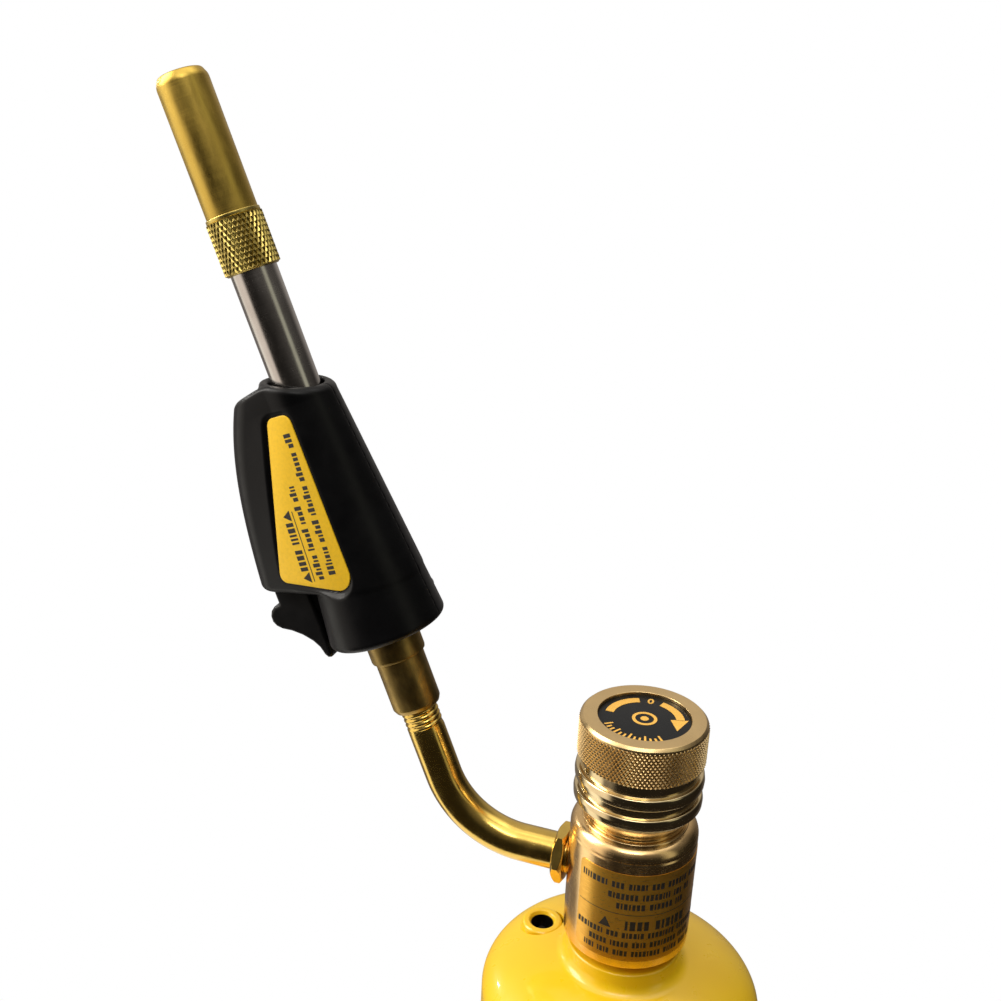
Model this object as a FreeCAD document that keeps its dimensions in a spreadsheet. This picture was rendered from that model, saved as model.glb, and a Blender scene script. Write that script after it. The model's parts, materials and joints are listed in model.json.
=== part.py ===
"""Trigger-start hand torch on a slim fuel cylinder, as a parametric FreeCAD document.

Millimetres, +Z up. The origin is the centre of the cylinder's foot, on the surface that it stands on.
The valve axis is +Z. The burner leans out towards -X in the XZ plane, and its pieces are drawn
upright in a burner frame: its Z runs along the burner towards the tip, from the end of the bent
tube's elbow, and its -X is the front, where the trigger is.
"""
import FreeCAD, Part
import math
import os

import Sketcher

doc = FreeCAD.newDocument("HandTorch")
sheet = doc.addObject("Spreadsheet::Sheet", "Sizes")
rows_used = 0
outputs = []


# ---------------------------------------------------------------- sizes and expressions
class Size:
    """A length or angle that knows both its number and the expression that gives it."""

    def __init__(self, number, text):
        self.number = float(number)
        self.text = text

    def __add__(self, other):
        other = as_size(other)
        return Size(self.number + other.number, f"({self.text} + {other.text})")

    def __sub__(self, other):
        other = as_size(other)
        return Size(self.number - other.number, f"({self.text} - {other.text})")

    def __mul__(self, other):
        other = as_size(other)
        return Size(self.number * other.number, f"({self.text} * {other.text})")

    def __truediv__(self, other):
        other = as_size(other)
        return Size(self.number / other.number, f"({self.text} / {other.text})")

    def __neg__(self):
        return Size(-self.number, f"(0 - {self.text})")

    def __rsub__(self, other):
        return as_size(other) - self

    __radd__ = __add__
    __rmul__ = __mul__


def as_size(value):
    return value if isinstance(value, Size) else Size(value, f"{value:.6g}")


def sine(angle):
    return Size(math.sin(math.radians(angle.number)), f"sin({angle.text} * 1 deg)")


def cosine(angle):
    return Size(math.cos(math.radians(angle.number)), f"cos({angle.text} * 1 deg)")


def size(alias, number):
    """Puts one driving dimension in the sheet and returns it."""
    global rows_used
    rows_used += 1
    sheet.set(f"A{rows_used}", alias)
    sheet.set(f"B{rows_used}", f"{number:.6g}")
    sheet.setAlias(f"B{rows_used}", alias)
    return Size(number, f"Sizes.{alias}")


def bind(item, **values):
    """Binds an object's sizes; underscores in a name stand for the dots of a property path."""
    for name, value in values.items():
        path = name.replace("_", ".")
        item.setExpression(path, as_size(value).text)
    return item


def put(item, x=0, y=0, z=0, axis=None, turn=None):
    """Places an object by expressions; turn is an angle in degrees about axis."""
    if axis is not None:
        item.Placement = FreeCAD.Placement(
            FreeCAD.Vector(), FreeCAD.Rotation(FreeCAD.Vector(*axis), as_size(turn).number)
        )
        item.setExpression("Placement.Rotation.Angle", as_size(turn).text)
    for letter, value in (("x", x), ("y", y), ("z", z)):
        item.setExpression(f"Placement.Base.{letter}", as_size(value).text)
    return item


def finished(item, label):
    """Names an object as one of the torch's pieces."""
    item.Label = label
    outputs.append(item)
    return item


# ---------------------------------------------------------------- driving dimensions
cylinder_radius = size("cylinder_radius", 37.0)
cylinder_wall = size("cylinder_wall", 1.0)
shoulder_height = size("shoulder_height", 247.9)
dome_rise = size("dome_rise", 13.5)
neck_radius = size("neck_radius", 13.0)
neck_thread_radius = size("neck_thread_radius", 12.65)
neck_top = size("neck_top", 279.5)
flange_radius = size("flange_radius", 15.2)
flange_top = size("flange_top", 265.6)
weld_radius = size("weld_radius", 18.2)
weld_foot = size("weld_foot", 259.9)
relief_x = size("relief_x", -23.9)
relief_y = size("relief_y", 5.4)
relief_radius = size("relief_radius", 5.85)
relief_bore = size("relief_bore", 3.1)
relief_top = size("relief_top", 258.9)

body_radius = size("body_radius", 16.24)
body_bottom = size("body_bottom", 268.65)
body_shoulder = size("body_shoulder", 300.2)
body_mouth = size("body_mouth", 303.8)
socket_top = size("socket_top", 281.0)
outlet_height = size("outlet_height", 286.63)
seat_level = size("seat_level", 284.0)
bonnet_seat = size("bonnet_seat", 292.5)
stop_level = size("stop_level", 298.2)
spigot_radius = size("spigot_radius", 9.5)
ridge_radius = size("ridge_radius", 16.2)
knob_radius = size("knob_radius", 16.0)
knob_bottom = size("knob_bottom", 321.05)
knob_top = size("knob_top", 332.0)
dial_radius = size("dial_radius", 11.54)
stem_radius = size("stem_radius", 4.0)

tube_radius = size("tube_radius", 4.9)
tube_bore = size("tube_bore", 3.4)
bend_start = size("bend_start", 29.05)
bend_radius = size("bend_radius", 25.16)
bend_angle = size("bend_angle", 67.6)
nut_start = size("nut_start", 16.7)
nut_thickness = size("nut_thickness", 3.0)
nut_corner_radius = size("nut_corner_radius", 8.0)

handle_bottom = size("handle_bottom", 42.8)
handle_bottom_radius = size("handle_bottom_radius", 15.5)
handle_top_radius = size("handle_top_radius", 9.0)
handle_top = size("handle_top", 110.6)
handle_top_slant = size("handle_top_slant", 20.0)
handle_wall = size("handle_wall", 2.0)
bulge_half_width = size("bulge_half_width", 8.0)

socket_start = size("socket_start", 20.4)
ring_start = size("ring_start", 35.3)
ring_radius = size("ring_radius", 7.3)
ring_end = size("ring_end", 50.0)
mixer_radius = size("mixer_radius", 5.84)
mixer_bore = size("mixer_bore", 5.0)
mixer_start = size("mixer_start", 45.0)
collar_start = size("collar_start", 139.2)
collar_end = size("collar_end", 153.2)
collar_radius = size("collar_radius", 7.02)
tip_radius = size("tip_radius", 6.4)
tip_bore = size("tip_bore", 5.3)
tip_end = size("tip_end", 187.0)

running_gap = size("running_gap", 0.05)
igniter_front = size("igniter_front", 12.8)
trigger_width = size("trigger_width", 10.0)

# The burner frame: the end of the elbow, leaning back from the vertical.
elbow_x = -(bend_start + bend_radius * sine(bend_angle))
elbow_z = outlet_height + bend_radius * (1 - cosine(bend_angle))
lean = bend_angle - 90


def on_burner(item, label):
    """Moves a finished piece from the burner frame to its place."""
    return finished(put(item, elbow_x, 0, elbow_z, (0, 1, 0), lean), label)


# ---------------------------------------------------------------- ways of making a piece
def turned(outline, name):
    """A PartDesign body turned about its Z axis from an outline of (radius, height) pairs."""
    body = doc.addObject("PartDesign::Body", name)
    sketch = body.newObject("Sketcher::SketchObject", name + "_outline")
    plane = [f for f in body.Origin.OriginFeatures if f.Role == "XZ_Plane"][0]
    sketch.AttachmentSupport = [(plane, "")]
    sketch.MapMode = "FlatFace"
    points = [(as_size(r), as_size(z)) for r, z in outline]
    corners = [FreeCAD.Vector(r.number, z.number, 0) for r, z in points]
    for here, there in zip(corners, corners[1:] + corners[:1]):
        sketch.addGeometry(Part.LineSegment(here, there), False)
    count = len(points)
    for k in range(count):
        sketch.addConstraint(Sketcher.Constraint("Coincident", k, 2, (k + 1) % count, 1))
    for k, (radius, height) in enumerate(points):
        if radius.number == 0:
            sketch.addConstraint(Sketcher.Constraint("PointOnObject", k, 1, -2))
        else:
            row = sketch.addConstraint(Sketcher.Constraint("DistanceX", -1, 1, k, 1, radius.number))
            sketch.setExpression(f"Constraints[{row}]", radius.text)
        if height.number == 0:
            sketch.addConstraint(Sketcher.Constraint("PointOnObject", k, 1, -1))
        else:
            row = sketch.addConstraint(Sketcher.Constraint("DistanceY", -1, 1, k, 1, height.number))
            sketch.setExpression(f"Constraints[{row}]", height.text)
    turn = body.newObject("PartDesign::Revolution", name + "_turn")
    turn.Profile = sketch
    turn.ReferenceAxis = (sketch, ["V_Axis"])
    turn.Angle = 360
    return body


def rod(radius, start, end, name, x=0, y=0):
    """An upright cylinder between two heights."""
    item = bind(doc.addObject("Part::Cylinder", name), Radius=radius, Height=as_size(end) - start)
    return put(item, x, y, start)


def cross_rod(radius, start, end, x, z, name):
    """A cylinder along Y between two places on that axis."""
    item = bind(doc.addObject("Part::Cylinder", name), Radius=radius, Height=as_size(end) - start)
    return put(item, x, start, z, (1, 0, 0), -90)


def cut(base, tool, name):
    item = doc.addObject("Part::Cut", name)
    item.Base, item.Tool = base, tool
    return item


def common(base, tool, name):
    item = doc.addObject("Part::Common", name)
    item.Base, item.Tool = base, tool
    return item


def fuse(shapes, name):
    item = doc.addObject("Part::MultiFuse", name)
    item.Shapes = shapes
    return item


def block(x, y, z, length, width, height, name):
    """A box between a low corner and its sizes."""
    item = bind(doc.addObject("Part::Box", name), Length=length, Width=width, Height=height)
    return put(item, x, y, z)


def coil(radius, wire, start, length, turns, name, x=0, y=0):
    """A compression spring about an upright axis; its wire's middle starts at start + wire."""
    rise = as_size(length) - as_size(wire) * 2
    helix = doc.addObject("Part::Helix", name + "_path")
    bind(helix, Radius=radius, Pitch=rise / turns, Height=rise)
    ring = bind(doc.addObject("Part::Circle", name + "_wire"), Radius=wire)
    put(ring, radius, 0, 0, (1, 0, 0), 90)
    sweep = doc.addObject("Part::Sweep", name)
    sweep.Sections, sweep.Spine = [ring], (helix, [])
    sweep.Solid, sweep.Frenet = True, True
    return put(sweep, x, y, as_size(start) + wire)


# ---------------------------------------------------------------- fuel cylinder
def make_cylinder_shell():
    def domed(radius, rise, name):
        wall = rod(radius, 0, shoulder_height, name + "_wall")
        dome = doc.addObject("Part::Ellipsoid", name + "_dome")
        bind(dome, Radius1=rise, Radius2=radius)
        dome.Angle1, dome.Angle2 = 0, 90
        put(dome, 0, 0, shoulder_height)
        return fuse([wall, dome], name)

    outside = domed(cylinder_radius, dome_rise, "shell_outside")
    inside = domed(cylinder_radius - cylinder_wall, dome_rise - cylinder_wall, "shell_inside")
    neck_hole = rod(neck_radius, shoulder_height, flange_top, "neck_hole")
    relief_hole = rod(relief_radius + 0.3, shoulder_height, flange_top, "relief_hole", relief_x, relief_y)
    hollows = fuse([inside, neck_hole, relief_hole], "shell_hollows")
    finished(cut(outside, hollows, "shell"), "cylinder_shell")


def make_cylinder_base():
    """The concave end: a shallow dome with a skirt, pressed up into the shell's foot."""
    crown_rise = 13.0
    crown_radius = 110.0
    sheet_metal = 1.2
    skirt_radius = cylinder_radius - cylinder_wall - 0.02
    upper = bind(doc.addObject("Part::Sphere", "base_upper"), Radius=crown_radius)
    lower = bind(doc.addObject("Part::Sphere", "base_lower"), Radius=crown_radius - sheet_metal)
    for ball in (upper, lower):
        put(ball, 0, 0, crown_rise - crown_radius)
    crown = common(cut(upper, lower, "base_cap"), rod(skirt_radius, 0, 20, "base_round"), "base_crown")
    skirt_outside = rod(skirt_radius, 0, 6.9, "skirt_out")
    skirt = cut(skirt_outside, rod(skirt_radius - sheet_metal, -1, 8, "skirt_in"), "base_skirt")
    finished(fuse([crown, skirt], "base"), "cylinder_base")


def make_relief_valve():
    """A spring holds the stem's disc down on the port's orifice; a crimped lip holds the spring."""
    port = turned(
        [
            (1.4, relief_top - 11), (relief_radius - 0.6, relief_top - 11),
            (relief_radius, relief_top - 8),
            (relief_radius, relief_top - 0.7), (relief_radius - 0.9, relief_top),
            (relief_bore + 1.2, relief_top),
            (relief_bore, relief_top - 1.4), (relief_bore, relief_top - 3.4), (1.5, relief_top - 3.4),
            (1.5, relief_top - 4.2), (relief_bore, relief_top - 4.2), (relief_bore, relief_top - 9),
            (1.4, relief_top - 9),
        ],
        "port",
    )
    finished(put(port, relief_x, relief_y), "relief_port")
    stem = turned(
        [
            (0, relief_top - 8.98), (2.8, relief_top - 8.98), (2.8, relief_top - 7.6),
            (1.2, relief_top - 7.6),
            (1.2, relief_top - 3.2), (1, relief_top - 3), (0, relief_top - 3),
        ],
        "relief_pin",
    )
    finished(put(stem, relief_x, relief_y), "relief_stem")
    finished(coil(2.1, 0.35, relief_top - 7.6, 3.4, 4, "relief_coil", relief_x, relief_y), "relief_spring")


def make_neck_and_core():
    """The neck bush with the fillet that welds it to the dome, and the valve core inside it."""
    bush = turned(
        [
            (4.5, 254), (neck_radius - 2, 254), (neck_radius - 0.02, 256),
            (neck_radius - 0.02, flange_top),
            (neck_thread_radius, flange_top), (neck_thread_radius, neck_top - 0.8),
            (neck_thread_radius - 0.8, neck_top), (6.3, neck_top), (6.3, 270), (4.5, 270),
        ],
        "neck_bush",
    )
    fillet = turned(
        [
            (neck_radius - 0.1, 257), (weld_radius, 257), (weld_radius, weld_foot),
            (weld_radius - 1.6, weld_foot + 1), (flange_radius + 0.5, weld_foot + 2.7),
            (flange_radius, weld_foot + 4.5), (flange_radius, flange_top - 0.6),
            (flange_radius - 0.6, flange_top), (neck_radius - 0.1, flange_top),
        ],
        "weld_blank",
    )
    underside = doc.addObject("Part::Ellipsoid", "weld_underside")
    bind(underside, Radius1=dome_rise + running_gap, Radius2=cylinder_radius + running_gap)
    underside.Angle1, underside.Angle2 = 0, 90
    put(underside, 0, 0, shoulder_height)
    finished(fuse([bush, cut(fillet, underside, "weld")], "neck"), "valve_neck")
    finished(
        turned(
            [(1.5, 261.5), (4.48, 261.5), (4.48, 268.5), (3.1, 268.5), (3.1, 264.5), (1.5, 264.5)],
            "core",
        ),
        "core_body",
    )
    finished(
        turned(
            [
                (0, 259.2), (3, 259.2), (3, 260.9), (0.9, 260.9), (0.9, 268), (2.7, 268), (2.7, 268.6),
                (0.9, 268.6), (0.9, 269.4), (0, 269.4),
            ],
            "core_pin_turned",
        ),
        "core_pin",
    )
    finished(coil(2.0, 0.35, 264.5, 3.5, 3, "core_coil"), "core_spring")


# ---------------------------------------------------------------- regulator head
def make_regulator_body():
    blank = turned(
        [
            (neck_thread_radius + running_gap, body_bottom), (body_radius - 0.5, body_bottom),
            (body_radius, body_bottom + 0.5), (body_radius, body_shoulder - 0.5),
            (body_radius - 0.35, body_shoulder + 0.25), (body_radius - 1.2, body_shoulder + 1.9),
            (body_radius - 2.4, body_mouth - 0.3), (body_radius - 3.1, body_mouth),
            (spigot_radius, body_mouth),
            (spigot_radius, bonnet_seat), (6, bonnet_seat), (6, seat_level), (5, seat_level),
            (5, socket_top),
            (neck_thread_radius + running_gap, socket_top),
        ],
        "body_blank",
    )
    tube_hole = bind(doc.addObject("Part::Cylinder", "tube_hole"), Radius=tube_radius + 0.02, Height=12)
    put(tube_hole, -9.5, 0, outlet_height, (0, 1, 0), -90)
    gas_hole = bind(doc.addObject("Part::Cylinder", "gas_hole"), Radius=2.6, Height=8)
    put(gas_hole, -4, 0, outlet_height, (0, 1, 0), -90)
    finished(cut(blank, fuse([tube_hole, gas_hole], "outlet_holes"), "body"), "regulator_body")


def make_inlet():
    finished(
        turned(
            [
                (1.2, 269.5), (2.6, 269.5), (3.2, 271), (4.6, 271), (4.6, 274.8), (4.3, 274.8),
                (4.3, 276.8),
                (4.6, 276.8), (4.6, 280.2), (6.1, 280.2), (6.1, 280.95), (4.98, 280.95),
                (4.98, seat_level),
                (3.2, seat_level), (3.2, 277), (1.2, 277), (1.2, 274.4), (2.3, 274.4), (2.3, 272),
                (1.2, 272),
            ],
            "nipple",
        ),
        "inlet_nipple",
    )
    finished(rod(2.28, 272.02, 274.38, "filter_disc"), "inlet_filter")
    seal = bind(doc.addObject("Part::Torus", "nipple_ring"), Radius1=5.22, Radius2=0.9)
    finished(put(seal, 0, 0, 275.8), "nipple_seal")
    finished(
        turned(
            [(0.7, 280.2), (3.12, 280.2), (3.12, 283), (1.6, 283), (1.6, 283.5), (0.7, 283.5)],
            "piston",
        ),
        "regulator_piston",
    )
    finished(coil(2.4, 0.35, 277, 3.2, 3, "piston_coil"), "regulator_spring")
    finished(
        turned(
            [
                (1.2, seat_level + 0.02), (5.96, seat_level + 0.02), (5.96, seat_level + 0.9),
                (2.1, seat_level + 0.9), (1.8, seat_level + 1.5), (1.2, seat_level + 1.5),
            ],
            "seat",
        ),
        "valve_seat",
    )


def make_bonnet():
    finished(
        turned(
            [
                (4.65, bonnet_seat), (spigot_radius - 0.02, bonnet_seat),
                (spigot_radius - 0.02, body_mouth + 0.02),
                (12.7, body_mouth + 0.02), (12.7, body_mouth + 1), (15.4, 308.8),
                (ridge_radius - 0.3, 309.7),
                (ridge_radius, 310.1), (ridge_radius, 311.6), (ridge_radius - 0.6, 312.3),
                (15, 312.5), (15, 315.2),
                (ridge_radius, 315.5), (ridge_radius, 317.1), (ridge_radius - 0.6, 317.8), (14.8, 318),
                (14.8, 320.8), (stem_radius + running_gap, 320.8),
                (stem_radius + running_gap, stop_level),
                (4.65, stop_level),
            ],
            "bonnet_turned",
        ),
        "bonnet",
    )


def make_control():
    finished(
        turned(
            [
                (2.86, 286.2), (3.9, 286.2), (3.9, 289), (3, 289.6), (3, 291.5), (4.5, 291.5),
                (4.5, 293.1),
                (3.2, 293.1), (3.2, 295.1), (4.5, 295.1), (4.5, 296), (stem_radius, 296),
                (stem_radius, 321.6),
                (3, 321.6), (3, 328.3), (1.52, 328.3), (1.52, 318), (0, 318), (0, 287.1), (2.86, 287.1),
            ],
            "stem",
        ),
        "control_stem",
    )
    finished(rod(2.8, 285.55, 287.05, "pad"), "seat_pad")
    seal = bind(doc.addObject("Part::Torus", "stem_ring"), Radius1=3.92, Radius2=0.7)
    finished(put(seal, 0, 0, 294.1), "stem_seal")
    knob = turned(
        [
            (3.01, 322), (6, 322), (6, 325.5), (13.4, 325.5), (13.4, knob_bottom),
            (knob_radius - 0.3, knob_bottom),
            (knob_radius, knob_bottom + 0.3), (knob_radius, knob_top - 0.7),
            (knob_radius - 0.7, knob_top),
            (dial_radius, knob_top), (dial_radius, knob_top - 1.5), (4.3, knob_top - 1.5),
            (4.3, knob_top - 3.6),
            (3.01, knob_top - 3.6),
        ],
        "knob",
    )
    finished(knob, "control_knob")
    finished(rod(dial_radius - 0.04, knob_top - 1.5, knob_top - 0.9, "disc"), "dial_disc")
    finished(
        turned(
            [
                (0, 320), (1.5, 320), (1.5, knob_top - 3.58), (4.1, knob_top - 3.58),
                (4.1, knob_top - 2.3),
                (3.2, knob_top - 1.8), (1.4, knob_top - 1.8), (1.4, knob_top - 2.8), (0, knob_top - 2.8),
            ],
            "knob_fixing",
        ),
        "knob_screw",
    )


def make_body_label():
    """A foil wrapped round the front and right of the body, from label_edge anticlockwise."""
    label_edge, label_sweep = -128, 205
    low, high = 271.2, 297.0
    skins = []
    for name, radius, start, end in (
        ("label_out", body_radius + 0.1, low, high),
        ("label_in", body_radius + 0.005, low - 1, high + 1),
    ):
        skin = rod(radius, start, end, name)
        skin.Angle = label_sweep if name == "label_out" else 360
        skins.append(skin)
    skins[0].Placement = FreeCAD.Placement(
        FreeCAD.Vector(0, 0, low), FreeCAD.Rotation(FreeCAD.Vector(0, 0, 1), label_edge)
    )
    finished(cut(skins[0], skins[1], "body_foil"), "body_label")


# ---------------------------------------------------------------- gas tube and burner
def make_bent_tube():
    """Straight run, elbow, straight run: the outside less the bore."""
    inner_end, upper_end = 9.6, 33.0

    def run(radius, name):
        level = bind(
            doc.addObject("Part::Cylinder", name + "_level"), Radius=radius, Height=bend_start - inner_end
        )
        put(level, -as_size(inner_end), 0, outlet_height, (0, 1, 0), -90)
        elbow = doc.addObject("Part::Torus", name + "_elbow")
        bind(elbow, Radius1=bend_radius, Radius2=radius, Angle3=bend_angle)
        # the torus's sweep starts at its own +X: turned down to the outlet's level and rolled upright
        middle = FreeCAD.Vector(-bend_start.number, 0, (outlet_height + bend_radius).number)
        down, forward = FreeCAD.Vector(0, 0, -1), FreeCAD.Vector(-1, 0, 0)
        roll = FreeCAD.Rotation(down, forward, FreeCAD.Vector(0, 1, 0), "XYZ")
        elbow.Placement = FreeCAD.Placement(middle, roll)
        elbow.setExpression("Placement.Base.x", (-bend_start).text)
        elbow.setExpression("Placement.Base.z", (outlet_height + bend_radius).text)
        upper = bind(doc.addObject("Part::Cylinder", name + "_upper"), Radius=radius, Height=upper_end)
        put(upper, elbow_x, 0, elbow_z, (0, 1, 0), lean)
        return fuse([level, elbow, upper], name)

    finished(cut(run(tube_radius, "tube_out"), run(tube_bore, "tube_in"), "gas_tube"), "bent_tube")


def make_lock_nut():
    prism = doc.addObject("Part::Prism", "nut_blank")
    prism.Polygon = 6
    bind(prism, Circumradius=nut_corner_radius, Height=nut_thickness)
    rounding = turned(
        [(0, -0.2), (6.6, -0.2), (8.4, 0.9), (8.4, nut_thickness - 0.9), (6.6, nut_thickness + 0.2),
         (0, nut_thickness + 0.2)],
        "nut_round",
    )
    hole = rod(tube_radius + 0.02, -1, nut_thickness + 1, "nut_hole")
    nut = cut(common(prism, rounding, "nut_body"), hole, "nut")
    finished(put(nut, -nut_start, 0, outlet_height, (0, 1, 0), -90), "lock_nut")


def make_burner():
    on_burner(
        turned(
            [
                (tube_radius + 0.02, socket_start), (5.9, socket_start), (6.5, socket_start + 1.2),
                (6.5, ring_start), (2.2, ring_start), (2.2, 33.05), (tube_radius + 0.02, 33.05),
            ],
            "socket",
        ),
        "burner_socket",
    )
    on_burner(
        turned(
            [
                (2.2, ring_start + 0.02), (ring_radius - 0.4, ring_start + 0.02),
                (ring_radius, ring_start + 0.5),
                (ring_radius, ring_end), (mixer_radius + 0.02, ring_end),
                (mixer_radius + 0.02, mixer_start - 0.02),
                (3.02, mixer_start - 0.02), (3.02, 40), (2.2, 40),
            ],
            "ring",
        ),
        "socket_ring",
    )
    on_burner(
        turned(
            [(0.2, 44), (0.2, 46.8), (1, 48), (3, 48), (3, 40.02), (1.2, 40.02), (1.2, 44)],
            "jet",
        ),
        "gas_jet",
    )
    tube = turned(
        [(mixer_bore, mixer_start), (mixer_radius, mixer_start), (mixer_radius, 148), (mixer_bore, 148)],
        "mixer",
    )
    wire_hole = bind(doc.addObject("Part::Cylinder", "wire_hole"), Radius=1.3, Height=4)
    put(wire_hole, -3.5, 0, 106.5, (0, 1, 0), -90)
    air_holes = [
        cross_rod(1.9, -8, 8, 0, 55, "air_hole_across"),
        put(
            bind(doc.addObject("Part::Cylinder", "air_hole_along"), Radius=1.9, Height=16),
            -8, 0, 55, (0, 1, 0), 90,
        ),
    ]
    on_burner(cut(tube, fuse([wire_hole] + air_holes, "mixer_holes"), "mixer_tube"), "burner_tube")
    on_burner(
        turned(
            [
                (mixer_radius + 0.02, collar_start), (collar_radius - 0.4, collar_start),
                (collar_radius, collar_start + 0.4), (collar_radius, collar_end - 1.2),
                (tip_radius + 0.35, collar_end - 1), (tip_radius + 0.35, collar_end),
                (tip_radius + 0.01, collar_end),
                (tip_radius + 0.01, 148.1), (mixer_radius + 0.02, 148.1),
            ],
            "collar",
        ),
        "knurled_collar",
    )
    on_burner(
        turned(
            [
                (tip_bore, 148.15), (tip_radius, 148.15), (tip_radius, tip_end - 2.6),
                (tip_radius - 0.2, tip_end - 1.6),
                (tip_radius - 0.75, tip_end - 0.4), (tip_radius - 1.3, tip_end), (4.7, tip_end),
                (4.4, tip_end - 0.6),
                (4.4, tip_end - 1.6), (tip_bore, tip_end - 2.2),
            ],
            "tip",
        ),
        "burner_tip",
    )


def make_flame_holder():
    """A disc with gas slots cut in its rim, on the electrode's insulator."""
    disc = turned([(1.65, 160), (tip_bore - 0.02, 160), (tip_bore - 0.02, 166), (1.65, 166)], "holder_disc")
    slots = []
    count = 6
    for k in range(count):
        slot = block(3, -0.8, 159, 3, 1.6, 8, f"holder_slot_{k}")
        turn = FreeCAD.Rotation(FreeCAD.Vector(0, 0, 1), k * 360 / count)
        corner = turn.multVec(FreeCAD.Vector(3, -0.8, 159))
        for letter in "xyz":
            slot.setExpression(f"Placement.Base.{letter}", None)
        slot.Placement = FreeCAD.Placement(corner, turn)
        slots.append(slot)
    on_burner(cut(disc, fuse(slots, "holder_slots"), "holder"), "flame_holder")


def make_igniter():
    insulator = turned([(0.52, 114), (1.6, 114), (1.6, 168), (0.9, 169), (0.52, 169)], "insulator")
    on_burner(insulator, "electrode_insulator")
    electrode = turned([(0, 114), (0.5, 114), (0.5, 173.6), (0.3, 174), (0, 174)], "electrode")
    on_burner(electrode, "spark_electrode")
    piezo = turned([(3.25, 76), (4.4, 76), (4.4, 102), (0, 102), (0, 93.5), (3.25, 93.5)], "piezo")
    on_igniter(piezo, 0, "piezo_body")
    plunger = turned([(0, 70.1), (3.2, 70.1), (3.2, 88), (0, 88)], "plunger")
    on_igniter(plunger, 0, "piezo_plunger")
    on_igniter(coil(2.4, 0.4, 0, 5.5, 4, "piezo_coil"), 88 + 0.4, "igniter_spring")


def on_igniter(item, along, label):
    """Places a piece on the igniter's own axis, in front of the burner tube."""
    x = elbow_x - igniter_front * sine(bend_angle) - cosine(bend_angle) * along
    z = elbow_z - igniter_front * cosine(bend_angle) + sine(bend_angle) * along
    return finished(put(item, x, 0, z, (0, 1, 0), lean), label)


def make_ignition_wire():
    """From the igniter's end, over the wall and down the burner tube's middle to the insulator."""
    radius = 0.9
    bend = 3.5
    front = -igniter_front.number
    crossing = 106.5
    corner = math.sqrt(0.5)

    def point(x, z):
        return FreeCAD.Vector(x, 0, z)

    path = Part.Wire(
        [
            Part.LineSegment(point(front, 102.02), point(front, crossing - bend)).toShape(),
            Part.Arc(
                point(front, crossing - bend),
                point(front + bend * (1 - corner), crossing - bend * (1 - corner)),
                point(front + bend, crossing),
            ).toShape(),
            Part.LineSegment(point(front + bend, crossing), point(-bend, crossing)).toShape(),
            Part.Arc(
                point(-bend, crossing), point(-bend * (1 - corner), crossing + bend * (1 - corner)),
                point(0, crossing + bend),
            ).toShape(),
            Part.LineSegment(point(0, crossing + bend), point(0, 113.98)).toShape(),
        ]
    )
    profile = Part.Wire(Part.Circle(point(front, 102.02), FreeCAD.Vector(0, 0, 1), radius).toShape())
    wire = doc.addObject("Part::Feature", "wire")
    wire.Shape = path.makePipeShell([profile], True, True)
    print("wire volume", wire.Shape.Volume, "section times length", math.pi * radius**2 * path.Length)
    on_burner(wire, "ignition_wire")


# ---------------------------------------------------------------- handle
def handle_radius(along):
    """The round part's radius at a distance along the burner, from its straight taper."""
    low, high = handle_bottom.number + 2, 106.0
    share = (along - low) / (high - low)
    return handle_bottom_radius.number + share * (handle_top_radius.number - handle_bottom_radius.number)


# The bulge's cross-sections: distance along the burner, and how far its front round's centre stands out.
BULGE_STATIONS = (
    (54, 23.3), (64.2, 22.3), (75.8, 20.7), (89.2, 18.0), (99.0, 14.9), (105.0, 11.9), (114.0, 5.6),
)


def hull_section(along, reach, back, front):
    """A closed wire round a big circle on the axis and a smaller one in front of it."""
    tilt = math.asin((back - front) / reach)
    wrap = math.pi / 2 - tilt

    def on_circle(centre, radius, angle):
        return FreeCAD.Vector(centre - radius * math.cos(angle), radius * math.sin(angle), along)

    edges = [
        Part.Arc(
            on_circle(0, back, wrap), on_circle(0, back, math.pi), on_circle(0, back, -wrap)
        ).toShape(),
        Part.LineSegment(on_circle(0, back, -wrap), on_circle(-reach, front, -wrap)).toShape(),
        Part.Arc(
            on_circle(-reach, front, -wrap), on_circle(-reach, front, 0), on_circle(-reach, front, wrap)
        ).toShape(),
        Part.LineSegment(on_circle(-reach, front, wrap), on_circle(0, back, wrap)).toShape(),
    ]
    return Part.Wire(edges)


def bulge(inset, name):
    """The handle's front bulge, or the same shape drawn in by inset."""
    sections = [
        hull_section(along, reach, handle_radius(along) - inset - 0.05, bulge_half_width.number - inset)
        for along, reach in BULGE_STATIONS
    ]
    item = doc.addObject("Part::Feature", name)
    item.Shape = Part.makeLoft(sections, True, False)
    return item


def slanted_cut(item, front, along, slant, above, name):
    """Takes away what is above (or below) a plane that crosses the axis plane at a slant."""
    side, thick = 120.0, 60.0
    knife = doc.addObject("Part::Box", name + "_knife")
    bind(knife, Length=side, Width=side, Height=thick)
    turn = FreeCAD.Rotation(FreeCAD.Vector(0, 1, 0), slant)
    corner = FreeCAD.Vector(-side / 2, -side / 2, 0 if above else -thick)
    knife.Placement = FreeCAD.Placement(FreeCAD.Vector(-front, 0, along) + turn.multVec(corner), turn)
    return cut(item, knife, name)


LABEL_POINT = FreeCAD.Vector(-1, -12.6, 61)
LABEL_ACROSS = FreeCAD.Vector(-1, 0.18, 0)
LABEL_ALONG = FreeCAD.Vector(0, 0.084, 1)
# The label's corners: front reach and distance along the burner, and each corner's rounding.
LABEL_CORNERS = ((6.5, 104.4, 2.4), (-0.5, 104.4, 2.4), (-3.6, 57.8, 4.2), (19.6, 63.9, 2.2))


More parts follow.
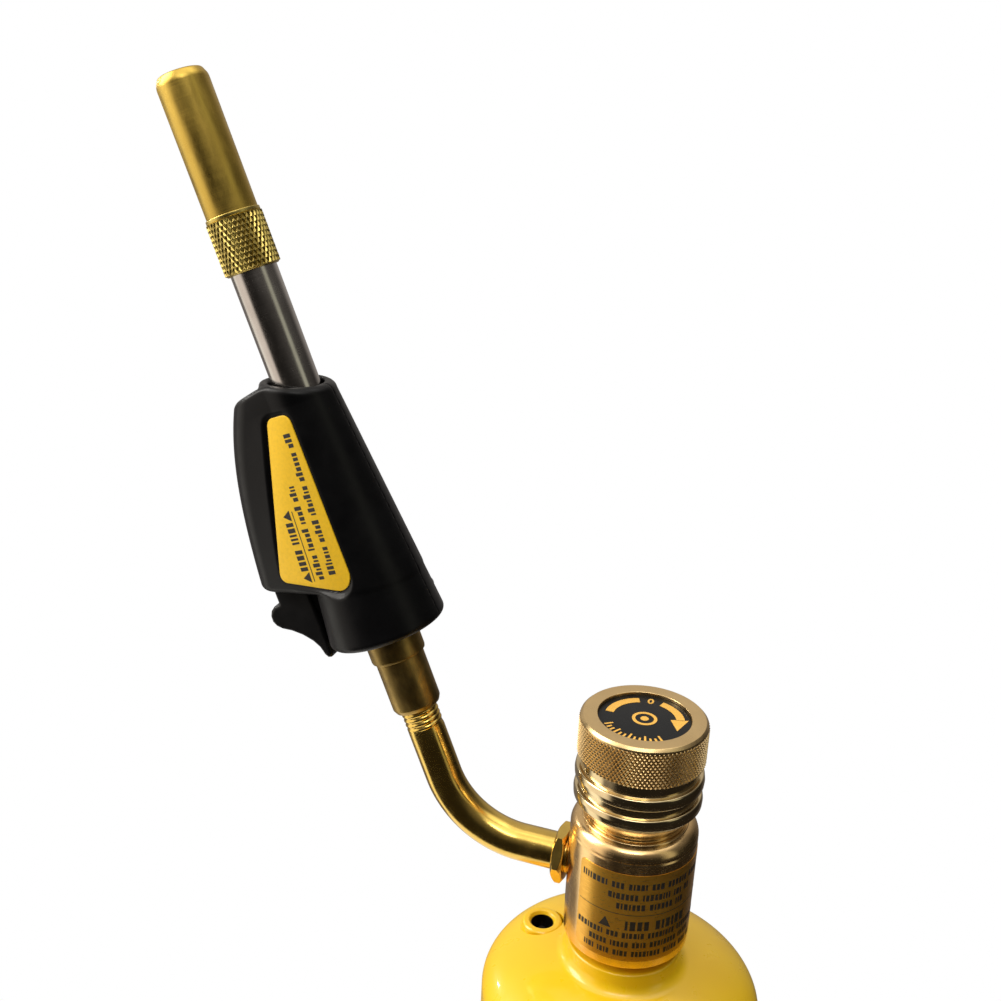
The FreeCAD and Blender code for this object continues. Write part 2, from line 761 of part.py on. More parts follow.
def label_outline(grow):
    """The label's outline on its sloping plane, as a wire with rounded corners."""
    flat = [FreeCAD.Vector(front, along, 0) for front, along, _ in LABEL_CORNERS]
    edges = []
    count = len(flat)
    joints = []
    for k in range(count):
        radius = LABEL_CORNERS[k][2] + grow
        before = (flat[k - 1] - flat[k]).normalize()
        after = (flat[(k + 1) % count] - flat[k]).normalize()
        half = before.getAngle(after) / 2
        inward = (before + after).normalize()
        corner = flat[k] - inward * (grow / math.sin(half))
        reach = radius / math.tan(half)
        centre = corner + inward * (radius / math.sin(half))
        joints.append((corner + before * reach, centre - inward * radius, corner + after * reach))
    for k in range(count):
        start, mid, end = (on_label_plane(p) for p in joints[k])
        edges.append(Part.Arc(start, mid, end).toShape())
        edges.append(Part.LineSegment(end, on_label_plane(joints[(k + 1) % count][0])).toShape())
    return Part.Wire(edges)


def on_label_plane(flat):
    return LABEL_POINT + LABEL_ACROSS * (flat.x - 1) + LABEL_ALONG * (flat.y - 61)


def label_normal():
    across = LABEL_ALONG.cross(LABEL_ACROSS).normalize()
    return -across if across.y > 0 else across


def make_labels_and_pockets():
    """A thin label in a shallow pocket on each side, mirror images of each other."""
    outward = label_normal()
    pocket = doc.addObject("Part::Feature", "label_pocket")
    pocket.Shape = Part.Face(label_outline(0.9)).extrude(outward * 6)
    label = doc.addObject("Part::Feature", "label_left")
    face = Part.Face(label_outline(0))
    face.translate(outward * 0.02)
    label.Shape = face.extrude(outward * 0.28)
    far_pocket = doc.addObject("Part::Mirroring", "label_pocket_far")
    far_pocket.Source = pocket
    far_pocket.Normal = FreeCAD.Vector(0, 1, 0)
    far_label = doc.addObject("Part::Feature", "label_right")
    far_label.Shape = label.Shape.mirror(FreeCAD.Vector(), FreeCAD.Vector(0, 1, 0))
    on_burner(label, "housing_label_left")
    on_burner(far_label, "housing_label_right")
    return pocket, far_pocket


SCREWS = ((-10.0, 50.0, 8.2), (9.9, 50.0, 8.2), (21.8, 86.0, 5.4))


def make_housing():
    """Two half shells round the burner tube, the igniter and the trigger's shaft."""
    def round_part(inset, name):
        bottom = handle_bottom + inset
        radius = handle_bottom_radius - inset
        top_radius = handle_top_radius - inset
        rim = 2.0
        cap = 116 if inset == 0 else 103
        outline = [
            (0, bottom), (radius - rim, bottom), (radius - rim * 0.29, bottom + rim * 0.29),
            (radius, bottom + rim), (top_radius, 106), (top_radius, max(cap, 106.01)),
            (0, max(cap, 106.01)),
        ]
        if inset:
            outline = [(0, bottom), (radius, bottom), (radius - 6.5 * 57 / 63, cap), (0, cap)]
        return turned(outline, name)

    wall = handle_wall.number
    top, slant = handle_top.number, handle_top_slant.number
    outer_round = slanted_cut(round_part(0, "handle_round"), 0, top, slant, True, "handle_slant")
    outer_bulge = slanted_cut(bulge(0, "bulge_out"), 9.2, 111.6, -11.0, True, "bulge_top")
    outer_bulge = slanted_cut(outer_bulge, 0, top, slant, True, "bulge_slant")
    outer_bulge = slanted_cut(outer_bulge, 26, 61.0, 8.0, False, "bulge_foot")
    inner_bulge = slanted_cut(bulge(wall, "bulge_in"), 9.2, 109.2, -11.0, True, "bulge_in_top")
    inner_bulge = slanted_cut(inner_bulge, 26, 63.4, 8.0, False, "bulge_in_foot")
    inner_bulge = slanted_cut(inner_bulge, 0, 103.6, slant, True, "bulge_in_slant")
    outside = fuse([outer_round, outer_bulge], "handle_outside")
    inner_round = round_part(wall, "handle_hollow")
    tube_hole = rod(mixer_radius + 0.06, 40, 120, "handle_tube_hole")
    mouth = rod(mixer_radius + 0.9, handle_top - 4.5, 120, "handle_mouth")
    ring_hole = rod(ring_radius + 0.15, 40, ring_end + 0.5, "handle_ring_hole")
    front_slot = block(-26.6, -5.4, 55, 12.1, 10.8, 20, "trigger_slot_front")
    back_slot = block(-15.1, -5.4, 62.3, 5.5, 10.8, 12.7, "trigger_slot_back")
    wire_channel = bind(doc.addObject("Part::Cylinder", "wire_channel"), Radius=1.2, Height=9)
    put(wire_channel, -14, 0, 106.5, (0, 1, 0), 90)
    pocket, far_pocket = make_labels_and_pockets()
    rooms = [inner_round, inner_bulge, tube_hole, mouth, ring_hole, front_slot, back_slot, wire_channel]
    hollows = fuse(rooms, "handle_hollows")
    pockets = fuse([pocket, far_pocket], "label_pockets")
    skin = cut(cut(outside, hollows, "handle_skin"), pockets, "handle_shell")
    bosses = [
        common(cross_rod(2.7, -20, 20, -front, along, f"boss_{k}"), outside, f"boss_inside_{k}")
        for k, (front, along, _) in enumerate(SCREWS)
    ]
    filled = fuse([skin] + bosses, "handle_with_bosses")
    holes = []
    for k, (front, along, head) in enumerate(SCREWS):
        holes.append(cross_rod(1.15, -6, 20, -front, along, f"screw_hole_{k}"))
        holes.append(cross_rod(2.35, head, 25, -front, along, f"screw_head_hole_{k}"))
    drilled = cut(filled, fuse(holes, "screw_holes"), "handle_drilled")
    for label, low in (("housing_left", -60.0), ("housing_right", 0.01)):
        half = block(-80, low, 0, 160, 59.99, 160, label + "_side")
        on_burner(common(drilled, half, label + "_half"), label)


def make_housing_screws():
    screws = []
    for k, (front, along, head) in enumerate(SCREWS):
        shank = cross_rod(1.12, -4, head + 0.3, -front, along, f"shank_{k}")
        top = cross_rod(2.2, head + 0.02, head + 1.5, -front, along, f"head_{k}")
        screws.append(fuse([shank, top], f"screw_{k}"))
    group = doc.addObject("Part::Compound", "screw_group")
    group.Links = screws
    on_burner(group, "housing_screws")


def make_trigger():
    """Lip, hollow finger face, tail and the shaft that reaches up to the igniter."""
    outline = [
        (9.8, 70.0), (26.0, 70.0), (26.2, 57.0), (29.1, 55.8), (30.0, 54.2), (29.8, 51.6), (28.2, 50.2),
        (25.4, 49.0), (22.6, 47.2), (20.3, 45.0), (19.0, 43.0), (18.4, 40.6), (17.2, 39.6), (16.1, 40.4),
        (15.9, 44.0), (15.9, 57.6), (14.4, 64.0), (9.8, 66.0),
    ]
    body = doc.addObject("PartDesign::Body", "trigger_body")
    sketch = body.newObject("Sketcher::SketchObject", "trigger_outline")
    plane = [f for f in body.Origin.OriginFeatures if f.Role == "XZ_Plane"][0]
    sketch.AttachmentSupport = [(plane, "")]
    sketch.MapMode = "FlatFace"
    corners = [FreeCAD.Vector(-front, along, 0) for front, along in outline]
    for k, (here, there) in enumerate(zip(corners, corners[1:] + corners[:1])):
        sketch.addGeometry(Part.LineSegment(here, there), False)
    for k in range(len(corners)):
        sketch.addConstraint(Sketcher.Constraint("Coincident", k, 2, (k + 1) % len(corners), 1))
        sketch.addConstraint(Sketcher.Constraint("DistanceX", k, 1, -1, 1, outline[k][0]))
        sketch.addConstraint(Sketcher.Constraint("DistanceY", -1, 1, k, 1, outline[k][1]))
    pad = body.newObject("PartDesign::Pad", "trigger_pad")
    pad.Profile = sketch
    bind(pad, Length=trigger_width)
    pad.Midplane = True
    on_burner(body, "trigger")


make_cylinder_shell()
make_cylinder_base()
make_relief_valve()
make_neck_and_core()
make_regulator_body()
make_inlet()
make_bonnet()
make_control()
make_body_label()
make_bent_tube()
make_lock_nut()
make_burner()
make_flame_holder()
make_igniter()
make_ignition_wire()
make_housing()
make_housing_screws()
make_trigger()

# ---------------------------------------------------------------- checks and export
doc.recompute()
broken = [f"{o.Name}: {o.State}" for o in doc.Objects if "Invalid" in o.State or "Error" in o.State]
for item in outputs:
    if item.Shape.isNull() or not item.Shape.isValid():
        broken.append(f"{item.Label}: null or invalid shape")
if broken:
    raise RuntimeError("; ".join(broken))
os.makedirs("parts", exist_ok=True)
for item in outputs:
    item.Shape.exportStep(f"parts/{item.Label}.step")
    box = item.Shape.BoundBox
    print(f"{item.Label:22s} {len(item.Shape.Solids)} solids {item.Shape.Volume:10.1f} mm3 "
          f"x {box.XMin:7.2f} {box.XMax:7.2f} y {box.YMin:7.2f} {box.YMax:7.2f} "
          f"z {box.ZMin:7.2f} {box.ZMax:7.2f}")
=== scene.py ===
"""The looks of the hand torch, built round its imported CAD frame.

Pieces are drawn in millimetres and stored in metres. A piece on the burner is drawn upright in the burner
frame: Z runs along the burner towards the tip, -X is the front, where the trigger is.
"""

import json
import math

import bmesh
import bpy
import numpy as np
from mathutils import Matrix, Vector


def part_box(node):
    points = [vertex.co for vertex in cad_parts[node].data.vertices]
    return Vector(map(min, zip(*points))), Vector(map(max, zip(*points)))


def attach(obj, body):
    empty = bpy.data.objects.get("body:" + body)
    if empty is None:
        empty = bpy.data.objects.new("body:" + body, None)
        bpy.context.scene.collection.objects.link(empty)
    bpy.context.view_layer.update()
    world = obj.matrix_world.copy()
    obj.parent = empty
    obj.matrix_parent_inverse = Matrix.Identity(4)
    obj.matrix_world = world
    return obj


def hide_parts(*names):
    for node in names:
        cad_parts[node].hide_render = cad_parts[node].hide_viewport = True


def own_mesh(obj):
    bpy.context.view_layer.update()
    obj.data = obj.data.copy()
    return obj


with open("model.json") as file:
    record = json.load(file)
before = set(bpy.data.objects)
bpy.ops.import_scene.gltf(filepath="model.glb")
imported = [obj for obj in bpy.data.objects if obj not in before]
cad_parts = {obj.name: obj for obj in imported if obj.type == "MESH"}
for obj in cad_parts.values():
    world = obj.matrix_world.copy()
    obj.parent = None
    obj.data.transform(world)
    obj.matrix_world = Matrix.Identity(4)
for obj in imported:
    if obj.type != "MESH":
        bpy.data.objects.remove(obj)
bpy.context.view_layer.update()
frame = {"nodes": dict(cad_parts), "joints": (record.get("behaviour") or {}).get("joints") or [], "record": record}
MM = 0.001
WORLD = Matrix.Identity(4)
TIP_END = 187.0


# ---- places, read from the frame
def named(items, name):
    return next(item for item in items if item["name"] == name)


def corners(node):
    """A node's vertices in millimetres."""
    mesh = frame["nodes"][node].data
    found = np.empty(len(mesh.vertices) * 3)
    mesh.vertices.foreach_get("co", found)
    return found.reshape(-1, 3) / MM


def find_burner():
    """The burner frame: the trigger slides along it, and the tip's far end is at TIP_END."""
    along = Vector(named(frame["joints"], "trigger_pull")["axis"]).normalized()
    across = Vector((0, 1, 0))
    back = across.cross(along)
    tip = corners("burner_tip")
    sideways = tip @ np.array(back)
    axis = float(sideways.min() + sideways.max()) / 2
    end = float((tip @ np.array(along)).max())
    turn = Matrix((back, across, along)).transposed().to_4x4()
    return Matrix.Translation((back * axis + along * (end - TIP_END)) * MM) @ turn


def extent(node, place=WORLD):
    """A turned node's largest radius, lowest and highest level about the Z axis of a frame."""
    inverse = np.array(place.inverted())
    x, y, z = (corners(node) @ inverse[:3, :3].T + inverse[:3, 3] / MM).T
    return float(np.hypot(x, y).max()), float(z.min()), float(z.max())


BURNER = find_burner()
RELIEF_LOW, RELIEF_HIGH = (Vector(corner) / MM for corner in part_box("relief_port"))
RELIEF_RADIUS = (RELIEF_HIGH.x - RELIEF_LOW.x) / 2
RELIEF_PLACE = Matrix.Translation((RELIEF_LOW + RELIEF_HIGH) / 2 * MM * Vector((1, 1, 0)))


# ---- materials
def material(name, colour, metallic=0.0, roughness=0.5, **more):
    """A Principled material; more sets other sockets, named with underscores for spaces."""
    made = bpy.data.materials.new(name)
    made.use_nodes = True
    shader = made.node_tree.nodes["Principled BSDF"]
    shader.inputs["Base Color"].default_value = (*colour, 1)
    shader.inputs["Metallic"].default_value = metallic
    shader.inputs["Roughness"].default_value = roughness
    for socket, value in more.items():
        shader.inputs[socket.replace("_", " ")].default_value = value
    return made


def feed(made, socket, value):
    """Links an input to another node's output, or sets it to a value."""
    if isinstance(value, bpy.types.NodeSocket):
        made.node_tree.links.new(value, socket)
    else:
        socket.default_value = value


def node(made, kind, **inputs):
    """Adds a node; inputs are values or sockets, by name with underscores for spaces."""
    found = made.node_tree.nodes.new(kind)
    for name, value in inputs.items():
        feed(made, found.inputs[name.replace("_", " ")], value)
    return found


def place_of(made, stretch=(1, 1, 1)):
    """The object's own coordinates in millimetres, stretched."""
    where = node(made, "ShaderNodeTexCoord").outputs["Object"]
    return node(made, "ShaderNodeMapping", Vector=where, Scale=[s / MM for s in stretch]).outputs["Vector"]


def noise(made, scale, detail=3.0, stretch=(1, 1, 1)):
    """Noise whose features are about 1/scale millimetres wide."""
    where = place_of(made, stretch)
    found = node(made, "ShaderNodeTexNoise", Vector=where, Scale=scale, Detail=detail, Roughness=0.55)
    return found.outputs["Fac"]


def spread(made, value, low, high, out_low=0, out_high=1, curve="LINEAR"):
    """Maps a range of a value onto another one, clamped."""
    numbers = {"From_Min": low, "From_Max": high, "To_Min": out_low, "To_Max": out_high}
    found = node(made, "ShaderNodeMapRange", Value=value, **numbers)
    found.interpolation_type = curve
    return found.outputs["Result"]


def product(made, first, second):
    found = node(made, "ShaderNodeMath")
    found.operation = "MULTIPLY"
    feed(made, found.inputs[0], first)
    feed(made, found.inputs[1], second)
    return found.outputs[0]


def blend(made, share, first, second):
    """Mixes two colours by a share."""
    mixer = node(made, "ShaderNodeMix")
    mixer.data_type = "RGBA"
    feed(made, mixer.inputs[0], share)
    sockets = [s for s in mixer.inputs if s.type == "RGBA"]
    for socket, value in zip(sockets, (first, second)):
        feed(made, socket, (*value, 1) if isinstance(value, tuple) else value)
    return next(s for s in mixer.outputs if s.type == "RGBA")


def set_input(made, name, value):
    feed(made, made.node_tree.nodes["Principled BSDF"].inputs[name], value)


def tint(made, cover, low, high, first, second, share=1):
    """Colours a material from first towards second as cover goes from low to high."""
    set_input(made, "Base Color", blend(made, spread(made, cover, low, high, 0, share), first, second))


def gloss(made, cover, low, high, smooth, rough):
    set_input(made, "Roughness", spread(made, cover, low, high, smooth, rough))


def bump(made, height, strength, distance):
    """A bump of at most distance millimetres."""
    found = node(made, "ShaderNodeBump", Height=height, Strength=strength, Distance=distance * MM)
    set_input(made, "Normal", found.outputs["Normal"])


def turned_metal(name, colour, dull, roughness, marks=0.25, patina=0.35, **more):
    """Metal off a lathe: fine rings from the tool, clouds of tarnish towards dull, small handling marks."""
    made = material(name, colour, 1.0, roughness, **more)
    tint(made, noise(made, 0.12, 5), 0.42, 0.72, colour, dull, patina)
    rings = noise(made, 4.0, 2, (0, 0, 1))
    smears = noise(made, 0.35, 4, (1, 1, 0.4))
    gloss(made, product(made, rings, smears), 0.12, 0.42, roughness * 0.75, roughness * 1.45)
    bump(made, rings, marks, 0.02)
    return made


def moulded(name, colour, roughness, grain, depth, **more):
    """Plastic or rubber from a mould: an even fine grain and slightly uneven gloss."""
    made = material(name, colour, 0.0, roughness, **more)
    pale = tuple(c * 1.4 + 0.001 for c in colour)
    tint(made, noise(made, 0.08, 4), 0.4, 0.7, colour, pale)
    gloss(made, noise(made, 0.25, 4), 0.3, 0.7, roughness * 0.85, roughness * 1.2)
    bump(made, noise(made, grain, 2), 0.5, depth)
    return made


def paint():
    """Thick gloss enamel with a faint orange peel and the odd dust nib under it."""
    made = material("yellow_enamel", (0.88, 0.60, 0.008), 0.0, 0.3, Coat_Weight=0.45, Coat_Roughness=0.08)
    tint(made, noise(made, 0.03), 0.35, 0.7, (0.90, 0.58, 0.009), (0.84, 0.51, 0.006))
    gloss(made, noise(made, 0.2), 0.3, 0.7, 0.26, 0.36)
    bump(made, noise(made, 0.9, 2), 0.25, 0.05)
    return made


def foil():
    """Gold printed foil: a metal sheen with faint roller lines along it."""
    made = material("gold_foil", (0.80, 0.40, 0.05), 0.9, 0.3, Coat_Weight=0.25, Coat_Roughness=0.2)
    lines = noise(made, 1.5, 3, (0.3, 0.3, 3))
    tint(made, lines, 0.35, 0.65, (0.84, 0.46, 0.06), (0.74, 0.38, 0.04))
    gloss(made, lines, 0.3, 0.7, 0.26, 0.36)
    bump(made, noise(made, 0.4, 2), 0.12, 0.02)
    return made


def printed(name, colour, roughness=0.45, **more):
    """Ink or dyed film with slightly uneven cover and gloss."""
    made = material(name, colour, 0.0, roughness, **more)
    worn = tuple(c * 0.9 + 0.002 for c in colour)
    tint(made, noise(made, 1.2, 4), 0.4, 0.75, colour, worn)
    gloss(made, noise(made, 0.6), 0.3, 0.7, roughness * 0.85, roughness * 1.2)
    return made


HOUSING_BLACK = (0.003, 0.003, 0.0035)
FINISH = {}
for maker, rows in (
    (turned_metal, (
        ("bright_steel", (0.62, 0.62, 0.63), (0.45, 0.44, 0.42), 0.28),
        ("inner_brass", (0.78, 0.58, 0.24), (0.50, 0.35, 0.14), 0.32),
        ("polished_brass", (0.84, 0.57, 0.26), (0.60, 0.36, 0.15), 0.22, 0.08, 0.3),
        ("knob_brass", (0.80, 0.58, 0.28), (0.66, 0.45, 0.20), 0.3, 0.3, 0.3),
        ("tube_brass", (0.80, 0.55, 0.13), (0.50, 0.32, 0.07), 0.19, 0.0, 0.45),
        ("socket_brass", (0.40, 0.27, 0.08), (0.13, 0.09, 0.035), 0.38, 0.3, 0.9),
        ("stainless_tube", (0.52, 0.49, 0.46), (0.36, 0.32, 0.29), 0.2, 0.15, 0.5),
        ("collar_brass", (0.66, 0.51, 0.15), (0.45, 0.33, 0.08), 0.3, 0.2, 0.5),
        ("tip_brass", (0.58, 0.40, 0.08), (0.44, 0.28, 0.045), 0.36, 0.18, 0.4),
    )),
    (moulded, (
        ("sintered_bronze", (0.30, 0.17, 0.07), 0.6, 3.0, 0.1, {"Metallic": 0.9}),
        ("seal_rubber", (0.02, 0.02, 0.02), 0.6, 3.0, 0.03),
        ("white_ceramic", (0.82, 0.80, 0.75), 0.3, 1.0, 0.02),
        ("igniter_plastic", (0.55, 0.10, 0.04), 0.4, 3.0, 0.02),
        ("wire_sleeve", (0.60, 0.05, 0.03), 0.45, 2.0, 0.02),
        ("housing_plastic", HOUSING_BLACK, 0.34, 4.0, 0.02, {"Specular_IOR_Level": 0.19}),
        ("trigger_plastic", HOUSING_BLACK, 0.36, 4.0, 0.02, {"Specular_IOR_Level": 0.24}),
    )),
    (printed, (
        ("dial_black", (0.008, 0.009, 0.010), 0.3, {"Specular_IOR_Level": 0.2}),
        ("yellow_label", (0.98, 0.60, 0.02), 0.38, {"Specular_IOR_Level": 0.3}),
    )),
):
    for name, *values in rows:
        sockets = values.pop() if isinstance(values[-1], dict) else {}
        FINISH[name] = maker(name, *values, **sockets)
FINISH["cylinder_paint"] = paint()
FINISH["foil_label"] = foil()
# the bonnet's brass: a darker, paler copy of polished_brass, painting the darker reflections that its ridges show
RIDGE_BRASS = turned_metal("ridge_brass", (0.72, 0.58, 0.34), (0.50, 0.36, 0.16), 0.14, 0.02, 0.4)
# near-black steel: painted shade, for the relief port's bore sleeve and the relief stem inside it
PAINTED_SHADE_STEEL = turned_metal("painted_shade_steel", (0.035, 0.032, 0.028), (0.02, 0.018, 0.015), 0.4)
INK = printed("black_ink", (0.012, 0.009, 0.006), 0.5)
GOLD_INK = printed("gold_ink", (0.90, 0.50, 0.08), 0.4)


# ---- making meshes
def add_object(name, data, place=WORLD):
    made = bpy.data.objects.new(name, data)
    bpy.context.scene.collection.objects.link(made)
    made.matrix_world = place
    return made


def smooth(mesh, crease=32.0):
    mesh.polygons.foreach_set("use_smooth", [True] * len(mesh.polygons))
    mesh.set_sharp_from_angle(angle=math.radians(crease))


def mesh_piece(name, points, faces, place=WORLD, crease=32.0):
    """An object from points in millimetres: doubles merged, smooth except at creases."""
    mesh = bpy.data.meshes.new(name)
    mesh.from_pydata((np.asarray(points, float) * MM).tolist(), [], [list(f) for f in faces])
    work = bmesh.new()
    work.from_mesh(mesh)
    bmesh.ops.remove_doubles(work, verts=work.verts, dist=1e-4 * MM)
    bmesh.ops.dissolve_degenerate(work, edges=work.edges, dist=1e-4 * MM)
    bmesh.ops.recalc_face_normals(work, faces=work.faces)
    work.to_mesh(mesh)
    work.free()
    smooth(mesh, crease)
    return add_object(name, mesh, place)


def piece(made, body, slot, *nodes, finish=None):
    """Gives a made object its finish, from its record slot unless one is given, puts it on its body and hides the
    CAD nodes that it stands for.
    """
    made.data.materials.append(finish or FINISH[slot])
    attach(made, body)
    if nodes:
        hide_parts(*nodes)
    return made


def rounded(outline, closed=True):
    """An outline of (x, y) or (x, y, radius) corners, with the radii drawn as arcs."""
    found = []
    count = len(outline)
    for k, corner in enumerate(outline):
        here = Vector(corner[:2])
        radius = corner[2] if len(corner) > 2 else 0
        if not radius or (not closed and k in (0, count - 1)):
            found.append(tuple(here))
            continue
        before = (Vector(outline[k - 1][:2]) - here).normalized()
        after = (Vector(outline[(k + 1) % count][:2]) - here).normalized()
        half = before.angle(after) / 2
        centre = here + (before + after).normalized() * (radius / math.sin(half))
        sweep = math.pi - 2 * half
        start = here + before * (radius / math.tan(half)) - centre
        way = 1 if before.x * after.y - before.y * after.x < 0 else -1
        steps = max(2, round(math.degrees(sweep) / 12))
        for step in range(steps + 1):
            turn = way * sweep * step / steps
            x = start.x * math.cos(turn) - start.y * math.sin(turn)
            y = start.x * math.sin(turn) + start.y * math.cos(turn)
            found.append((centre.x + x, centre.y + y))
    return found


def ring_faces(rows, count, loop_rows):
    """Quads between rings of count points each."""
    faces = []
    for row in range(rows if loop_rows else rows - 1):
        here, there = row * count, (row + 1) % rows * count
        sides = [(k, (k + 1) % count) for k in range(count)]
        faces += [(here + k, here + after, there + after, there + k) for k, after in sides]
    return faces


def capped_faces(rows, count, first=0):
    """The faces of a closed solid through rings of count points each, numbered from first."""
    ends = [tuple(range(count)), tuple(range(rows * count - 1, (rows - 1) * count - 1, -1))]
    return [tuple(first + k for k in face) for face in ring_faces(rows, count, False) + ends]


def circle(radius, turns, level):
    return np.column_stack((radius * np.cos(turns), radius * np.sin(turns), np.full(len(turns), level)))


def lathe(name, outline, place=WORLD, count=160, crease=32.0):
    """A solid turned about Z from a closed outline, or from one that starts and ends on the axis."""
    closed = not (outline[0][0] == 0 and outline[-1][0] == 0)
    profile = rounded(outline, closed)
    turns = np.linspace(0, 2 * math.pi, count, endpoint=False)
    rings = [circle(r, turns, z) for r, z in profile]
    return mesh_piece(name, np.vstack(rings), ring_faces(len(rings), count, closed), place, crease)


def knurled(name, rest, radius, depth, low, high, around, rows, place=WORLD, flat=0.34):
    """A turned solid with a diamond knurl from low to high; rest is its outline from there back round."""
    points, faces = [], []
    height = (high - low) / (2 * rows)
    root = radius - depth

    def at(u, v, r):
        turn = 2 * math.pi * u / around
        return (r * math.cos(turn), r * math.sin(turn), low + v * height)

    for v in range(2 * rows + 1):
        for k in range(around):
            u = k + (0.5 if v % 2 == 0 else 0.0)
            sides = [(0.5, 0), (0, 1), (-0.5, 0), (0, -1)]
            if v == 0:
                sides = sides[:3]
            elif v == 2 * rows:
                sides = [sides[2], sides[3], sides[0]]
            first, size = len(points), len(sides)
            points += [at(u + a, v + b, root) for a, b in sides]
            points += [at(u + a * flat, v + b * flat, radius) for a, b in sides]
            for s in range(size if size == 4 else size - 1):
                after = (s + 1) % size
                faces.append((first + s, first + after, first + size + after, first + size + s))
            faces.append(tuple(range(first + size, first + 2 * size)))

    shares = np.array((0, 0.5 - flat / 2, 0.5 + flat / 2))
    turns = 2 * math.pi * (np.arange(around)[:, None] + shares).ravel() / around
    edge = np.tile((root, radius, radius), around)
    back = [(edge, high)] + rounded([(root, high)] + rest + [(root, low)], False)[1:-1] + [(edge, low)]
    start = len(points)
    for r, z in back:
        points += [tuple(p) for p in circle(r, turns, z)]
    faces += [tuple(start + k for k in face) for face in ring_faces(len(back), len(turns), False)]
    return mesh_piece(name, points, faces, place, 20.0)


def sculpt(name, field, low, high, step, place=WORLD, crease=42.0):
    """The surface where a signed distance field is zero, by surface nets and then moved onto it."""
    axes = [np.arange(a, b + step, step) for a, b in zip(low, high)]
    shape = tuple(len(a) for a in axes)
    grid = np.broadcast_to(field(*np.ix_(*axes)), shape)
    inside = grid < 0
    owners, places, quads = [], [], []
    for axis in range(3):
        near, far = [slice(None)] * 3, [slice(None)] * 3
        near[axis], far[axis] = slice(0, -1), slice(1, None)
        index = np.array(np.nonzero(inside[tuple(near)] != inside[tuple(far)]))
        ahead = index.copy()
        ahead[axis] += 1
        start, end = grid[tuple(index)], grid[tuple(ahead)]
        crossing = index.astype(float)
        crossing[axis] += start / (start - end)
        u, v = (axis + 1) % 3, (axis + 2) % 3
        ring = []
        for du, dv in ((0, 0), (1, 0), (1, 1), (0, 1)):
            cell = index.copy()
            cell[u] -= du
            cell[v] -= dv
            ring.append(np.ravel_multi_index(tuple(cell), shape))
            owners.append(ring[-1])
            places.append(crossing.T)
        ring = np.array(ring).T
        outward = inside[tuple(index)]
        ring[outward] = ring[outward][:, ::-1]
        quads.append(ring)
    owners, places, quads = np.concatenate(owners), np.concatenate(places), np.concatenate(quads)
    cells, owner_index = np.unique(owners, return_inverse=True)
    total = np.bincount(owner_index)
    middle = np.column_stack([np.bincount(owner_index, places[:, k]) / total for k in range(3)])
    points = middle * step + np.array(low)
    for _ in range(3):
        points -= descend(field, points, step)
    faces = np.searchsorted(cells, quads)
    return mesh_piece(name, points, faces.tolist(), place, crease)


def descend(field, points, step):
    """The move that takes points onto the field's zero surface, at most half a step long."""
    tiny = 0.01
    value = field(*points.T)
    slope = np.empty_like(points)
    for k in range(3):
        offset = np.zeros(3)
        offset[k] = tiny
        slope[:, k] = (field(*(points + offset).T) - field(*(points - offset).T)) / (2 * tiny)
    size = np.maximum((slope**2).sum(axis=1), 0.2)
    move = slope * (value / size)[:, None]
    length = np.maximum(np.linalg.norm(move, axis=1), 1e-9)
    return move * np.minimum(1, 0.5 * step / length)[:, None]


# ---- signed distances
def both(a, b, radius=0.0):
    """What is inside both fields, with the edge between them rounded."""
    if radius == 0:
        return np.maximum(a, b)
    corner = np.hypot(np.maximum(radius + a, 0), np.maximum(radius + b, 0))
    return np.minimum(-radius, np.maximum(a, b)) + corner


def either(a, b, radius=0.0):
    """What is inside either field, with the corner between them filled."""
    return -both(-a, -b, radius)


def slab(value, low, high):
    return np.maximum(low - value, value - high)


def polygon(x, y, outline):
    """The distance to a closed outline of (x, y) corners, negative inside."""
    nearest = np.inf
    inside = np.zeros(np.broadcast(x, y).shape, bool)
    for (ax, ay), (bx, by) in zip(outline, outline[1:] + outline[:1]):
        ex, ey = bx - ax, by - ay
        share = np.clip(((x - ax) * ex + (y - ay) * ey) / (ex * ex + ey * ey), 0, 1)
        nearest = np.minimum(nearest, np.hypot(x - ax - share * ex, y - ay - share * ey))
        if ay != by:
            inside ^= ((ay > y) != (by > y)) & (x < ax + (y - ay) / (by - ay) * ex)
    return np.where(inside, -nearest, nearest)


# ---- fuel cylinder
DOME_RISE = 13.5
NECK_HOLE = 13.0


def make_cylinder():
    """Drawn steel bottle: rolled foot, straight wall, flattened dome with a hole for the relief port."""
    radius, low, _ = extent("cylinder_shell")
    shoulder = named(frame["record"]["mounts"], "cylinder_wall")["dims"]["length_mm"]
    wall = 1.0

    def dome(inset):
        across, up = radius - inset, DOME_RISE - inset
        angles = [math.acos(NECK_HOLE / across) * k / 40 for k in range(41)]
        return [(across * math.cos(a), shoulder + up * math.sin(a)) for a in angles]

    foot = [(radius - wall, low, 0.4), (radius, low, 0.5)]
    shell = lathe("bottle", foot + dome(0) + dome(wall)[::-1], count=256)
    hole = RELIEF_RADIUS + 0.02
    cutter = lathe("port_hole", [(0, 230), (hole, 230), (hole, 280), (0, 280)], RELIEF_PLACE)
    apply_cut(shell, cutter)
    piece(shell, "torch", "cylinder_paint", "cylinder_shell")

    sheet, ball, top = 1.2, 110.0, 13.0
    edge = radius - wall - 0.02

    def cap(size, end):
        return [(end * k / 24, top - ball + math.sqrt(size**2 - (end * k / 24) ** 2)) for k in range(25)]

    dish = cap(ball, edge) + [(edge, 0, 0.4), (edge - sheet, 0, 0.4)] + cap(ball - sheet, edge - sheet)[::-1]
    piece(lathe("base_dish", dish, count=192), "torch", "bright_steel", "cylinder_base")


